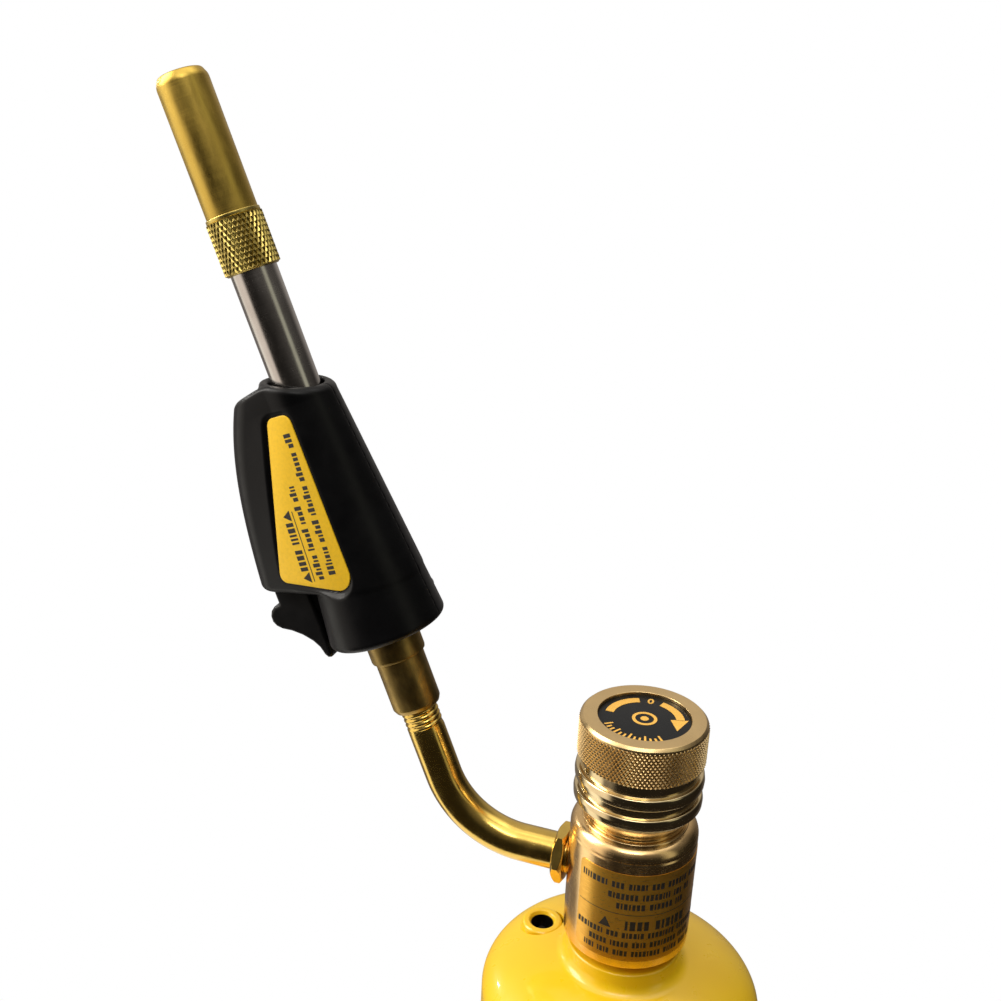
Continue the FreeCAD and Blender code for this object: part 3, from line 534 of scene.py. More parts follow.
def apply_cut(made, cutter):
    """Cuts one object with another, which is then removed."""
    modifier = made.modifiers.new("cut", "BOOLEAN")
    modifier.operation = "DIFFERENCE"
    modifier.solver = "EXACT"
    modifier.object = cutter
    bpy.context.view_layer.update()
    solid = bpy.data.meshes.new_from_object(made.evaluated_get(bpy.context.evaluated_depsgraph_get()))
    made.modifiers.clear()
    made.data = solid
    smooth(solid)
    bpy.data.objects.remove(cutter)


def make_neck():
    """Neck bush: the fillet that welds it to the dome, the rim that the head stops above, its thread."""
    _, low, high = extent("valve_neck")
    rim, rim_top = 15.2, 265.6
    fillet_radius, fillet_top = 3.2, 262.88
    turns = np.radians(np.linspace(78.65, 0, 13))
    fillet = circle(fillet_radius, turns, 0)[:, :2] * (-1, -1) + (rim + fillet_radius, fillet_top)
    pitch, root, crest = 1.27, 12.0, 12.62
    thread = []
    for level in np.arange(rim_top + 0.8, high - 1.2, pitch):
        thread += [(root, level), (crest, level + pitch / 2)]
    neck = lathe(
        "neck_bush",
        [(4.5, low), (12.9, low), (12.9, 258.5), *fillet, (rim, rim_top, 0.6), (root, rim_top)] + thread
        + [(root, high - 0.9), (11.6, high), (6.3, high, 0.3), (6.3, 270), (4.5, 270)],
        count=128,
    )
    piece(neck, "torch", "cylinder_paint", "valve_neck")


def make_relief_port():
    """Pressed ring with a funnel lip, sunk in the dome, with a near-black sleeve in its bore as painted shade."""
    low, top, radius = RELIEF_LOW.z, RELIEF_HIGH.z, RELIEF_RADIUS
    bore, groove, shade_thickness = 3.1, 0.35, 0.15
    lip = [
        (bore, low), (radius, low, 0.5), (radius, top - 2.0), (radius - groove, top - 2.0),
        (radius - groove, top - 0.5, 0.4), (radius - 0.9, top, 0.7), (bore + 0.55, top, 0.5),
        (bore, top - 0.9, 0.4),
    ]
    piece(lathe("relief_ring", lip, RELIEF_PLACE, count=96), "torch", "cylinder_paint", "relief_port")
    # a thin near-black sleeve inside the bore: painted shade, so the hole reads dark
    shade_sleeve = [
        (1.5, low + 0.1), (bore - 0.01, low + 0.1), (bore - 0.01, top - 0.95), (bore - shade_thickness, top - 0.95),
        (bore - shade_thickness, top - 5.4), (1.5, top - 5.4, 0.2),
    ]
    made = lathe("relief_bore", shade_sleeve, RELIEF_PLACE, count=96)
    piece(made, "torch", "cylinder_paint", finish=PAINTED_SHADE_STEEL)


# ---- regulator head
def make_head_body():
    """Turned body with a rounded shoulder, a step under it, and the bores for the neck and the piston."""
    radius, low, high = extent("regulator_body")
    shoulder, crown, socket = 300.2, 3.4, 12.72
    turns = np.radians(np.linspace(0, 78, 11))
    crown_foot = high - 0.25 - crown * math.sin(turns[-1])
    outline = [
        (socket, low, 0.25), (radius, low, 0.55), (radius, shoulder - 0.75, 0.12),
        (radius - 0.2, shoulder - 0.3),
        *((radius - crown * (1 - math.cos(a)), crown_foot + crown * math.sin(a)) for a in turns),
        (13.4, high, 0.25), (9.55, high, 0.2), (9.55, 292.5), (6, 292.5), (6, 284), (5, 284), (5, 281),
        (socket, 281),
    ]
    piece(lathe("head_body", outline, count=192), "torch", "polished_brass", "regulator_body")


def make_bonnet():
    """Waisted bonnet with two bright ridges under the knob."""
    radius, low, high = extent("bonnet")
    outline = [
        (4.7, low), (9.45, low), (9.45, 303.84), (12.7, 303.84, 0.3), (12.7, 304.9, 0.6),
        (15.3, 308.75, 0.25), (15.3, 309.3, 0.15), (radius - 0.1, 309.45, 0.3), (radius, 311.0, 0.2),
        (radius - 0.25, 312.35, 0.55),
        (14.85, 312.45, 0.15), (14.85, 315.1, 0.15), (radius - 0.1, 315.15, 0.25), (radius, 316.4, 0.2),
        (radius - 0.25, 318.05, 0.6), (14.7, 318.1, 0.15), (14.7, high, 0.2), (4.1, high, 0.2), (4.1, 298.2),
        (4.7, 298.2),
    ]
    bonnet = lathe("ridged_bonnet", outline, count=192)
    # the bonnet takes the darker copy of the brass, painted shade in its reflections
    piece(bonnet, "torch", "polished_brass", "bonnet", finish=RIDGE_BRASS)


def make_knob():
    """Knurled knob, hollow under its hub, with the dial let into its top."""
    radius, low, high = extent("control_knob")
    dial, _, dial_top = extent("dial_disc")
    recess, land = dial + 0.06, radius - 0.22
    rest = [
        (land, high - 1.2), (land, high - 0.7, 0.25), (radius - 0.9, high, 0.25), (recess, high, 0.18),
        (recess, high - 1.5), (4.3, high - 1.5), (4.3, high - 3.6), (3.05, high - 3.6), (3.05, 322), (6, 322),
        (6, 325.5), (13.4, 325.5), (13.4, low, 0.2), (radius - 0.8, low, 0.2), (radius - 0.45, low + 0.3),
    ]
    knob = knurled("knurled_knob", rest, radius, 0.42, low + 0.45, high - 1.3, 92, 6, flat=0.22)
    piece(knob, "knob", "knob_brass", "control_knob")

    edge, foot = dial - 0.02, dial_top - 0.55
    disc = lathe("dial_face", [(0, foot), (edge, foot), (edge, dial_top, 0.12), (0, dial_top)], count=128)
    piece(disc, "knob", "dial_black", "dial_disc")
    make_dial_marks(dial, dial_top)


def make_dial_marks(dial, level):
    """A turning arrow in two parts with a zero between them, a scale of ticks and a plain ring."""
    points, faces = [], []
    to_camera, zero_turn = 9.9, 82.5

    def at(radius, turn):
        angle = math.radians(turn + to_camera)
        return (radius * math.cos(angle), radius * math.sin(angle))

    def plate(outline):
        faces.extend(capped_faces(2, len(outline), len(points)))
        points.extend((x, y, height) for height in (level, level + 0.07) for x, y in outline)

    def band(inner, outer, start, end, step=3):
        stops = np.linspace(start, end, max(2, round(abs(end - start) / step) + 1))
        plate([at(outer, a) for a in stops] + [at(inner, a) for a in stops[::-1]])

    middle, half = 0.77 * dial, 0.09 * dial
    band(middle - half, middle + half, 170, 101)
    band(middle - half, middle + half, 64, 6)
    plate([at(middle - 2.4 * half, 7), at(middle + 1.9 * half, 7), at(middle * 1.02, -27)])
    outer, inner = (0.8, 1.25), (0.336, 0.825)
    lean = Matrix.Rotation(math.radians(zero_turn + to_camera - 90), 2)
    centre = Vector(at(middle, zero_turn))
    for k in range(20):
        ring = []
        for (wide, tall), stop in ((outer, k), (outer, k + 1), (inner, k + 1), (inner, k)):
            angle = math.pi * stop / 10
            ring.append(centre + lean @ Vector((wide * math.cos(angle), tall * math.sin(angle))))
        plate(ring)
    for k in range(13):
        turn = 206 + k * 7.5
        tall = 0.20 if k % 3 == 0 else 0.12
        band((0.92 - tall) * dial, 0.92 * dial, turn - 1.5, turn + 1.5)
    for start in (0, 180):
        band(0.20 * dial, 0.27 * dial, start, start + 179.9, 10)
    plate([at(0.09 * dial, turn) for turn in range(0, 360, 20)])
    marks = mesh_piece("dial_marks", points, faces)
    piece(marks, "knob", None, finish=GOLD_INK)


def make_body_label():
    """Gold foil wrapped round the body, with rounded corners, and its printed rows."""
    radius, low, high = extent("body_label")
    start, sweep = math.radians(-128), math.radians(205)
    count, rows, corner = 150, 24, 1.4

    points, faces = [], []
    for r in (radius - 0.088, radius):
        for v in range(rows + 1):
            share = v / rows
            level = low + (high - low) * (0.5 - 0.5 * math.cos(math.pi * share))
            near = min(level - low, high - level)
            inset = (corner - math.sqrt(max(corner**2 - max(corner - near, 0) ** 2, 0))) / radius
            for k in range(count + 1):
                turn = start + inset + (sweep - 2 * inset) * k / count
                points.append((r * math.cos(turn), r * math.sin(turn), level))
    wide = count + 1
    size = (rows + 1) * wide
    for v in range(rows):
        for a in range(v * wide, v * wide + count):
            inner = (a, a + 1, a + wide + 1, a + wide)
            faces += [inner[::-1], tuple(k + size for k in inner)]
    edge = [*range(wide), *range(wide + count, size, wide)]
    edge += [*range(size - 2, size - wide - 1, -1), *range(size - 2 * wide, 0, -wide)]
    faces += [(a, b, b + size, a + size) for a, b in zip(edge, edge[1:] + edge[:1])]
    piece(mesh_piece("body_foil", points, faces), "torch", "foil_label", "body_label")

    def surface(along, up, lift):
        turn = along / radius
        return ((radius + lift) * math.cos(turn), (radius + lift) * math.sin(turn), up)

    prints = Print(surface)
    arc = math.radians(1) * radius
    for start, end, *row in (
        (-124, -2, 293.6, 1.75, 1.25, 3), (-97, -17, 290.5, 1.75, 1.25, 5), (-89, -25, 287.6, 1.75, 1.25, 8),
        (-80, -20, 282.0, 2.7, 1.9, 11), (-126, 4, 279.0, 1.6, 1.1, 13), (-112, -10, 276.2, 1.6, 1.1, 21),
        (-117, -5, 273.5, 1.6, 1.1, 34),
    ):
        prints.row(start * arc, end * arc, *row)
    prints.bar(-126 * arc, 12 * arc, 285.15, 285.3)
    prints.triangle(-98 * arc, 282.1, 3.2, 2.9)
    piece(prints.finish("body_print"), "torch", None, finish=INK)


class Print:
    """Flat ink marks on a surface; surface(along, up, lift) gives a point in millimetres."""

    def __init__(self, surface, place=WORLD):
        self.surface, self.place = surface, place
        self.points, self.faces = [], []

    def patch(self, start, end, low, high, other_high=None):
        """A block from start to end, or a slanted one whose far side is other_high."""
        outline = [(start, low), (end, low), (end, high if other_high is None else other_high), (start, high)]
        self.faces += capped_faces(2, 4, len(self.points))
        self.points += [self.surface(*corner, lift) for lift in (0.004, 0.03) for corner in outline]

    def bar(self, start, end, low, high):
        """A long block, in short lengths that follow a curved surface."""
        stops = np.linspace(start, end, max(1, round((end - start) / 1.5)) + 1)
        for a, b in zip(stops, stops[1:]):
            self.patch(a, b, low, high)

    def triangle(self, middle, level, width, height):
        low = level - height / 2
        sides = np.linspace(-width / 2, width / 2, 11)
        tops = low + height * (1 - 2 * abs(sides) / width) + 0.01
        for k in range(10):
            self.patch(middle + sides[k], middle + sides[k + 1], low, tops[k], tops[k + 1])

    def row(self, start, end, level, height, width, seed, small=False):
        """A row of plain blocks in word-like groups, standing in for print."""
        draw = np.random.default_rng(seed)
        place, left = start, int(draw.integers(4, 9))
        low = level - height / 2
        while place < end:
            if left == 0:
                place += width * 0.7
                left = int(draw.integers(3, 9))
                continue
            size = width * float(draw.choice([0.35, 0.62, 0.62, 0.72]))
            tall = height * (0.72 if small and draw.random() < 0.75 else 1.0)
            self.patch(place, place + size, low, low + tall)
            place += size + 0.28 * width
            left -= 1

    def finish(self, name):
        return mesh_piece(name, self.points, self.faces, self.place)


# ---- gas tube and burner
BEND_START, BEND_RADIUS, BEND = 29.05, 25.16, math.radians(67.6)


def make_bent_tube():
    """Round tube: level run with a thread at its root, elbow, and a threaded upper end."""
    outlet = corners("lock_nut")[:, 2]
    level = float(outlet.min() + outlet.max()) / 2
    radius, bore, count = 4.9, 3.4, 72
    pitch, depth = 1.35, 0.32
    root_end, top_start, top_end = 19.4, 14.9, 22.0

    # each ring's centre, its turn from level, and how far along a thread it is, or None
    rings = [((-s, 0, level), 0.0, s) for s in np.arange(9.6, root_end, pitch / 8)]
    rings += [((-s, 0, level), 0.0, None) for s in np.arange(20.0, BEND_START, 1.5)]
    for angle in np.linspace(0, BEND, 41):
        front, up = BEND_START + BEND_RADIUS * math.sin(angle), BEND_RADIUS * (1 - math.cos(angle))
        rings.append(((-front, 0, level + up), angle, None))
    end = Vector(rings[-1][0])
    ahead = Vector((-math.cos(BEND), 0, math.sin(BEND)))
    stops = [*np.arange(1.5, 14.6, 1.5), *np.arange(top_start, top_end, pitch / 8), 26.0, 33.0]
    rings += [(end + ahead * s, BEND, s if top_start <= s < top_end else None) for s in stops]
    inside = [rings[0]] + [ring for ring in rings if ring[2] is None] + [rings[-1]]

    turns = np.linspace(0, 2 * math.pi, count, endpoint=False)
    points = []
    for size, path in ((radius, rings), (bore, inside[::-1])):
        for centre, angle, thread in path:
            r = np.full(count, size)
            if size == radius and thread is not None:
                phase = (thread / pitch + turns / (2 * math.pi)) % 1
                r -= depth * (1 - (0.5 + 0.5 * np.cos(2 * math.pi * phase)) ** 0.7)
            down = (-math.sin(angle), 0, -math.cos(angle))
            ring = np.outer(np.cos(turns), down) + np.outer(np.sin(turns), (0, 1, 0))
            points.append(np.array(centre) + r[:, None] * ring)
    tube = mesh_piece("elbow_tube", np.vstack(points), ring_faces(len(points), count, True))
    piece(tube, "torch", "tube_brass", "bent_tube")


def make_lock_nut():
    """Hexagon with its corners chamfered on both faces."""
    (far, _, low), (near, _, high) = corners("lock_nut").min(0), corners("lock_nut").max(0)
    thick = near - far
    turn = Matrix.Rotation(math.radians(-90), 4, "Y")
    place = Matrix.Translation(Vector((near, 0, (low + high) / 2)) * MM) @ turn
    corner, bore, chamfer = 8.0, 4.95, math.radians(32)
    flat = corner * math.cos(math.pi / 6)
    turns = np.linspace(0, 2 * math.pi, 216, endpoint=False)
    hexagon = flat / np.cos((turns + math.pi / 6) % (math.pi / 3) - math.pi / 6)
    rings = [circle(bore, turns, thick), circle(bore, turns, 0)]
    for z in (*np.linspace(0, 1.0, 14), *np.linspace(thick - 1.0, thick, 14)):
        cone = flat - 0.25 + min(z, thick - z) / math.tan(chamfer)
        rings.append(circle(np.minimum(hexagon, cone), turns, z))
    nut = mesh_piece("hex_nut", np.vstack(rings), ring_faces(len(rings), len(turns), True), place, 24)
    piece(nut, "torch", "tube_brass", "lock_nut")


def make_burner_metal():
    """Socket, ring, steel tube, knurled collar and flame tube, all turned about the burner's axis."""
    radius, low, high = extent("burner_socket", BURNER)
    outline = [
        (4.95, low, 0.15), (5.9, low, 0.3), (radius, low + 1.2, 0.4), (radius, high), (2.2, high),
        (2.2, 33.1), (4.95, 33.1),
    ]
    piece(lathe("socket", outline, BURNER), "torch", "socket_brass", "burner_socket")
    radius, low, high = extent("socket_ring", BURNER)
    outline = [
        (2.2, low), (radius - 0.15, low, 0.15), (radius, low + 0.6, 0.5), (radius, high, 0.3),
        (5.9, high), (5.9, 45), (3.05, 45), (3.05, 40), (2.2, 40),
    ]
    piece(lathe("ring", outline, BURNER), "torch", "socket_brass", "socket_ring")
    radius, low, high = extent("burner_tube", BURNER)
    steel = lathe("steel_tube", [(5, low), (radius, low, 0.2), (radius, high, 0.2), (5, high)], BURNER)
    piece(steel, "torch", "stainless_tube", "burner_tube")

    tip_radius, tip_low, tip_high = extent("burner_tip", BURNER)
    radius, low, high = extent("knurled_collar", BURNER)
    lip, bore = tip_radius + 0.36, tip_radius + 0.02
    rest = [
        (radius - 0.4, high - 0.95), (lip, high - 0.85, 0.1), (lip, high, 0.2), (bore, high), (bore, 148.1),
        (5.9, 148.1), (5.9, low), (radius - 0.6, low, 0.15), (radius - 0.3, low + 0.3),
    ]
    collar = knurled("knurled_sleeve", rest, radius, 0.27, low + 0.4, high - 1.1, 36, 5, BURNER, 0.36)
    piece(collar, "torch", "collar_brass", "knurled_collar")
    outline = [
        (5.3, tip_low), (tip_radius, tip_low), (tip_radius, tip_high - 2, 2.5),
        (tip_radius - 1, tip_high, 0.9), (4.65, tip_high, 0.15), (4.4, tip_high - 0.6),
        (4.4, tip_high - 1.6), (5.3, tip_high - 2.2),
    ]
    piece(lathe("flame_tube", outline, BURNER), "torch", "tip_brass", "burner_tip")


# ---- handle
# how far the bulge's nose is in front of the burner, at levels along the burner
BULGE_FOOT = 54
BULGE_REACH = (
    (54, 23.3), (64.2, 22.3), (75.8, 20.7), (89.2, 18.0), (99.0, 15.0), (105.0, 12.4), (114.0, 7.2),
)
BULGE_CURVE = np.polyfit([a - BULGE_FOOT for a, _ in BULGE_REACH], [b for _, b in BULGE_REACH], 4)
# each screw's place in front and along, and how far its head is from the middle plane
SCREWS = ((-10.0, 50.0, 8.2), (9.9, 50.0, 8.2), (21.8, 86.0, 5.4))
LABEL_OUTLINE = rounded([(6.5, 104.4, 2.4), (-0.5, 104.4, 2.4), (-3.6, 57.8, 4.2), (19.6, 63.9, 2.2)])
LABEL_SLOPE = (0.18, 0.084)
LABEL_LEAN = math.sqrt(1 + LABEL_SLOPE[0] ** 2 + LABEL_SLOPE[1] ** 2)
CONE_LOW, CONE_HIGH = (15.5, 44.8), (9.0, 106)


def label_depth(front, along):
    """How far from the middle plane the label's plane is."""
    return 12.6 - LABEL_SLOPE[0] * (front - 1) - LABEL_SLOPE[1] * (along - 61)


def housing_outside(front, y, along):
    """The handle's outer shape, before anything is cut from it."""
    out = np.hypot(front, y)
    taper = (CONE_HIGH[0] - CONE_LOW[0]) / (CONE_HIGH[1] - CONE_LOW[1])
    radius = np.maximum(CONE_LOW[0] + taper * (along - CONE_LOW[1]), CONE_HIGH[0])
    cone = (out - radius) / math.hypot(1, taper)
    round_part = both(cone, 42.8 - along, 2.0)
    slant = math.radians(20)
    crown = (along - 110.6 - front * math.tan(slant)) * math.cos(slant)
    round_part = both(round_part, crown, 1.3)

    reach = np.polyval(BULGE_CURVE, along - BULGE_FOOT)
    nose, wide = 8.0, np.minimum(radius - 0.05, 8 + reach * 0.95)
    slope = (wide - nose) / reach
    level = np.sqrt(1 - slope**2)
    side = abs(y)
    share = side * -slope + front * level
    wall = np.where(share < 0, out, side * level + front * slope) - wide
    bulge = np.where(share > level * reach, np.hypot(side, front - reach) - nose, wall)
    top = math.radians(11)
    bulge = both(bulge, (along - 111.6 + (front - 9.2) * math.tan(top)) * math.cos(top), 1.3)
    foot = math.radians(8)
    bulge = both(bulge, (61.0 + (front - 26) * math.tan(foot) - along) * math.cos(foot), 2.0)
    bulge = both(bulge, crown, 1.3)
    return either(round_part, bulge, 0.7)


def label_pocket(front, y, along):
    """The sunk panel for a label, with a sloping wall; y is measured outwards."""
    height = (y - label_depth(front, along)) / LABEL_LEAN
    edge = polygon(front, along, LABEL_OUTLINE) - 0.5
    spread_out = 1.1 + 1.1 * np.clip((front - 6) / 10, 0, 1) * np.clip((68 - along) / 5, 0, 1)
    return both(-height, (edge - spread_out * height) / np.hypot(1, spread_out), 0.35)


def housing_field(side):
    """The handle's half on the -Y side (side -1) or the +Y side (side 1)."""

    def field(x, y, along):
        front = -x
        outside = housing_outside(front, y, along)
        out = np.hypot(front, y)
        solid = both(outside, -label_pocket(front, y * side, along), 0.3)
        hollow = both(outside + 2.0, along - 103.6)
        for screw_front, screw_along, _ in SCREWS:
            hollow = both(hollow, 2.7 - np.hypot(front - screw_front, along - screw_along))
        solid = np.maximum(solid, -hollow)
        solid = both(solid, -both(out - 6.74, 106.1 - along, 0.3), 0.5)
        solid = np.maximum(solid, 5.9 - out)
        solid = both(solid, -both(out - 7.45, along - 50.5), 0.3)
        slot = both(slab(front, 14.7, 26.6), slab(along, 50.0, 75.0))
        slot = either(slot, both(slab(front, 9.6, 15.1), slab(along, 62.3, 75.0)))
        solid = both(solid, -both(slot, abs(y) - 5.4), 0.3)
        if side > 0:
            for screw_front, screw_along, head in SCREWS:
                hole = both(np.hypot(front - screw_front, along - screw_along) - 2.35, head - y)
                solid = both(solid, -hole, 0.2)
        return both(solid, 0.012 - y * side, 0.18)

    return field


def make_housing():
    step = 0.3
    for name, side in (("left", -1), ("right", 1)):
        near, far = sorted((-side, 17 * side))
        half = sculpt(f"handle_{name}", housing_field(side), (-33, near, 41), (17, far, 116), step, BURNER)
        piece(half, "torch", "housing_plastic", f"housing_{name}")
        make_housing_label(name, side)


def make_housing_label(name, side):
    """A film label in its panel, with a soft edge, and its printed rows along the burner."""
    normal = Vector((LABEL_SLOPE[0], 1, LABEL_SLOPE[1])) / LABEL_LEAN
    outer = [Vector(corner) for corner in LABEL_OUTLINE]
    middle = sum(outer, Vector((0, 0))) / len(outer)

    def at(front, along, lift):
        spot = Vector((front, label_depth(front, along), along)) + normal * lift
        return (-spot.x, spot.y * side, spot.z)

    def inset(k, depth):
        way = (outer[(k + 1) % len(outer)] - outer[k - 1]).normalized()
        inward = Vector((-way.y, way.x))
        if inward.dot(middle - outer[k]) < 0:
            inward = -inward
        return outer[k] + inward * depth

    film = 0.31
    edge = [(0.0, 0.02), (0.0, 0.24), (0.05, 0.29), (0.12, film)]
    points = [at(*inset(k, depth), lift) for depth, lift in edge for k in range(len(outer))]
    label = mesh_piece(f"handle_label_{name}", points, capped_faces(len(edge), len(outer)), BURNER)
    piece(label, "torch", "yellow_label", f"housing_label_{name}")

    prints = Print(lambda along, up, lift: at(up, along, film + lift), BURNER)
    prints.row(63.6, 99.5, 1.9, 2.2, 1.35, seed=41, small=True)
    prints.row(62.8, 87.0, 6.0, 2.2, 1.35, seed=43, small=True)
    prints.bar(62.6, 81.0, 8.1, 8.35)
    prints.row(65.6, 77.8, 10.3, 2.4, 1.6, seed=47)
    for middle_along in (63.8, 80.0):
        prints.triangle(middle_along, 10.3, 2.8, 2.4)
    piece(prints.finish(f"handle_print_{name}"), "torch", None, finish=INK)


def make_screws():
    """Pan heads with a cross recess, deep in their holes."""
    def field(x, y, z):
        out = np.hypot(x, y)
        head = both(out - 2.2, slab(z, 0.0, 1.5), 0.35)
        dome = np.sqrt(out**2 + (z + 2.6) ** 2) - 4.15
        head = both(head, dome, 0.1)
        arm, other = (both(abs(a) - 1.25, abs(b) - 0.27) for a, b in ((x, y), (y, x)))
        recess = both(np.minimum(arm, other), 0.55 - z)
        shank = both(out - 1.1, slab(z, -11.5, 0.2))
        return np.minimum(both(head, -recess, 0.06), shank)

    for k, (front, along, head) in enumerate(SCREWS):
        spin = Matrix.Rotation(math.radians(25 + 40 * k), 4, "Z")
        turn = Matrix.Rotation(math.radians(-90), 4, "X") @ spin
        place = BURNER @ Matrix.Translation(Vector((-front, head, along)) * MM) @ turn
        screw = sculpt(f"housing_screw_{k}", field, (-2.6, -2.6, -12.0), (2.6, 2.6, 2.0), 0.13, place)
        piece(screw, "torch", "bright_steel", *(["housing_screws"] if k == 0 else []))


def make_trigger():
    """Moulded trigger: lip, hollow finger face, tail and shaft, all with rounded edges."""
    outline = [
        (9.8, 70.0), (26.0, 70.0), (26.1, 56.9), (28.0, 56.5), (29.3, 55.5), (30.0, 54.2), (30.1, 52.6),
        (29.4, 51.2), (28.0, 50.1), (25.4, 49.0), (22.6, 47.2), (20.3, 45.0), (19.0, 43.0), (18.4, 40.8),
        (17.7, 39.8), (16.8, 39.7), (16.1, 40.8), (15.9, 44.0), (15.9, 57.6), (14.9, 62.5), (9.8, 66.0),
    ]

    def field(x, y, along):
        return both(polygon(-x, along, outline), abs(y) - 4.98, 0.9)

    trigger = sculpt("finger_trigger", field, (-32.0, -6.0, 38.0), (-8.0, 6.0, 72.0), 0.22, BURNER)
    piece(trigger, "trigger", "trigger_plastic", "trigger")


# ---- inner pieces
SLOTS = {part["node"]: part["material_slot"] for part in frame["record"]["subparts"]}


def make_springs():
    """Round-wire springs, each coiled to fill the box of the CAD spring that it stands for."""
    for node_name, joint_name, place, wire, turns in (
        ("relief_spring", "relief_lift", WORLD, 0.35, 4), ("core_spring", "core_pin_press", WORLD, 0.35, 3),
        ("igniter_spring", "plunger_slide", BURNER, 0.4, 4),
    ):
        upright = place.to_3x3()
        within = corners(node_name) @ np.array(upright)
        low, high = within.min(0), within.max(0)
        radius, length = (high[0] - low[0]) / 2 - wire, high[2] - low[2]
        middle = (low + high) / 2
        slope = (length - 2 * wire) / (2 * math.pi * turns)

        around = np.linspace(0, 2 * math.pi, 12, endpoint=False)
        stops = np.linspace(0, 2 * math.pi * turns, 32 * turns + 1)
        points = []
        for turn in stops:
            outwards = np.array((math.cos(turn), math.sin(turn), 0.0))
            forwards = np.array((-math.sin(turn) * radius, math.cos(turn) * radius, slope))
            upwards = np.cross(outwards, forwards / np.linalg.norm(forwards))
            ring = np.outer(np.cos(around), outwards) + np.outer(np.sin(around), upwards)
            points.append(outwards * radius + (*middle[:2], low[2] + wire + slope * turn) + wire * ring)
        faces = capped_faces(len(stops), len(around))
        coil = mesh_piece(node_name.replace("spring", "coil"), np.vstack(points), faces, upright.to_4x4())
        piece(coil, "torch", SLOTS[node_name], node_name)

        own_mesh(coil)


def dress_inner_pieces():
    """The other pieces inside stay as the frame has them, and get their materials; the relief stem's is
    near-black, painted shade.
    """
    for name, item in frame["nodes"].items():
        if not item.hide_render:
            item.data.materials.clear()
            # the relief stem takes the near-black steel as painted shade, so the port's bore reads dark
            item.data.materials.append(PAINTED_SHADE_STEEL if name == "relief_stem" else FINISH[SLOTS[name]])


make_cylinder()
make_neck()
make_relief_port()
make_head_body()
make_bonnet()
make_knob()
make_body_label()
make_bent_tube()
make_lock_nut()
make_burner_metal()
make_housing()
make_screws()
make_trigger()
make_springs()
dress_inner_pieces()


# ---- stage, light and camera
def make_stage():
    """A round pale floor."""
    floor = lathe("floor", [(0, -4), (250, -4), (250, 0, 1.5), (0, 0)], count=128)
    pale = material("pale_floor", (0.9, 0.9, 0.9), 0.0, 0.6)
    set_input(pale, "Base Color", blend(pale, noise(pale, 0.01, 3), (0.90, 0.90, 0.90), (0.93, 0.93, 0.93)))
    floor.data.materials.append(pale)


def soft_light(name, place, size, power, colour=(1.0, 0.98, 0.95), target=(-0.04, 0.0, 0.33)):
    """A rectangular lamp turned to a target, which the camera doesn't see."""
    light = bpy.data.lights.new(name, "AREA")
    light.shape = "RECTANGLE"
    light.size, light.size_y = size
    light.energy = power
    light.color = colour
    made = add_object(name, light)
    made.location = place
    made.rotation_euler = (Vector(target) - Vector(place)).to_track_quat("-Z", "Y").to_euler()
    made.visible_camera = False


# the camera's azimuth, and tall panels round the torch: azimuth right of the camera, half width, softness,
# lowest height, strength and tint
CAMERA_AZIMUTH = -71.6
PANELS = (
    (-95, 8, 13, -2, 1.45, (1.0, 0.96, 0.86)),
    (-76, 12, 16, -0.42, 1.25, (1.0, 0.90, 0.80)),
    (58, 4, 9, -0.1, 0.6, (1.0, 1.0, 0.80)),
)


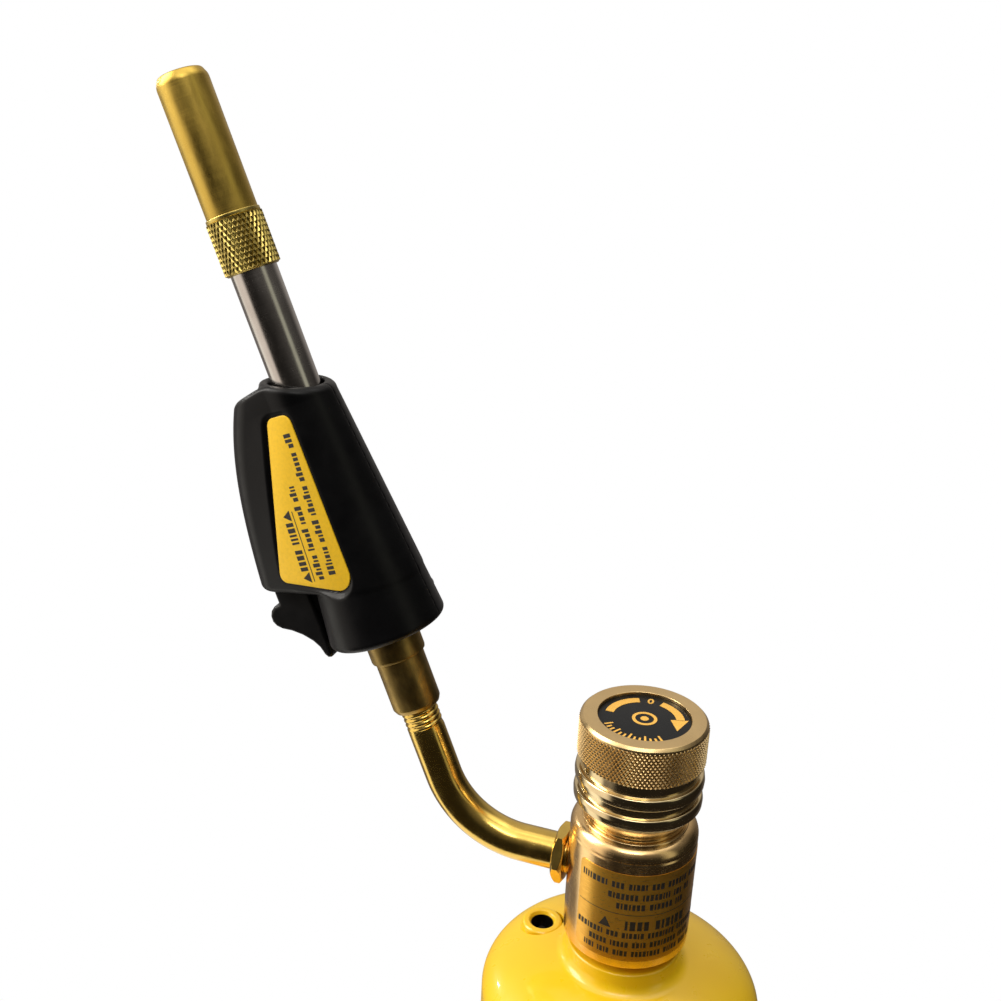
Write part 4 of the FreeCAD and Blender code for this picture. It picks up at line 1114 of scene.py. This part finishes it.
def make_world():
    """White seen directly; in reflections, a dark room with a pale ceiling, a backdrop and the panels."""
    world = bpy.data.worlds.new("studio")
    bpy.context.scene.world = world
    world.use_nodes = True
    world.node_tree.nodes.clear()

    def over(value, low, high, below, above):
        return blend(world, spread(world, value, low, high, curve="SMOOTHSTEP"), below, above)

    def vector_math(operation, vector, other=(0, 0, 0)):
        found = node(world, "ShaderNodeVectorMath", Vector=vector)
        found.operation = operation
        found.inputs[1].default_value = other
        return found.outputs

    where = node(world, "ShaderNodeTexCoord").outputs["Generated"]
    height = node(world, "ShaderNodeSeparateXYZ", Vector=where).outputs["Z"]
    level = vector_math("NORMALIZE", vector_math("MULTIPLY", where, (1, 1, 0))["Vector"])["Vector"]

    def towards(turn):
        """How directly a ray points at an azimuth, in degrees right of the camera as seen from the torch."""
        angle = math.radians(CAMERA_AZIMUTH + turn)
        return vector_math("DOT_PRODUCT", level, (math.cos(angle), math.sin(angle), 0))["Value"]

    colour = over(height, -0.9, 0.0, (0.022, 0.017, 0.013), (0.020, 0.018, 0.016))
    colour = over(height, 0.1, 0.65, colour, (0.14, 0.13, 0.12))
    colour = over(height, 0.66, 0.93, colour, (1.7, 1.64, 1.55))
    backdrop = over(height, -0.5, 0.5, (0.20, 0.18, 0.17), (0.60, 0.56, 0.52))
    colour = over(towards(196), 0.15, 0.95, colour, backdrop)
    for turn, wide, soft, foot, strength, hue in PANELS:
        near, far = math.cos(math.radians(wide)), math.cos(math.radians(wide + soft))
        beside = spread(world, towards(turn), far, near, curve="SMOOTHSTEP")
        above = spread(world, height, foot - 0.1, foot + 0.1, curve="SMOOTHSTEP")
        colour = blend(world, product(world, beside, above), colour, tuple(strength * c for c in hue))
    room = node(world, "ShaderNodeBackground", Color=colour)
    white = node(world, "ShaderNodeBackground", Color=(1, 1, 1, 1))
    mix = node(world, "ShaderNodeMixShader", Fac=node(world, "ShaderNodeLightPath").outputs["Is Camera Ray"])
    feed(world, mix.inputs[1], room.outputs[0])
    feed(world, mix.inputs[2], white.outputs[0])
    node(world, "ShaderNodeOutputWorld", Surface=mix.outputs[0])


def make_camera():
    """Level with the burner's tip, looking down at the knob from the front right."""
    data = bpy.data.cameras.new("camera")
    data.lens = 42.09
    data.sensor_width = 36
    data.clip_start = 0.01
    back = Vector((0.29571, -0.89046, 0.34588))
    up = Vector((-0.15095, 0.31396, 0.93736))
    turn = Matrix((up.cross(back), up, back)).transposed().to_4x4()
    place = Matrix.Translation((0.04349, -0.25056, 0.47914)) @ turn
    bpy.context.scene.camera = add_object("camera", data, place)


make_stage()
make_world()
soft_light("key_left", (-0.75, -0.20, 0.80), (0.35, 0.6), 6, (1.0, 0.97, 0.92))
soft_light("overhead", (-0.10, 0.15, 1.15), (0.6, 0.4), 0.6)
soft_light("front_top", (0.07, -0.52, 1.11), (0.50, 0.18), 1.4)
soft_light("spark", (-0.92, 0.29, 0.60), (0.06, 0.06), 0.5, target=(-0.03, 0.0, 0.25))
make_camera()
bpy.context.scene.view_settings.view_transform = "Standard"
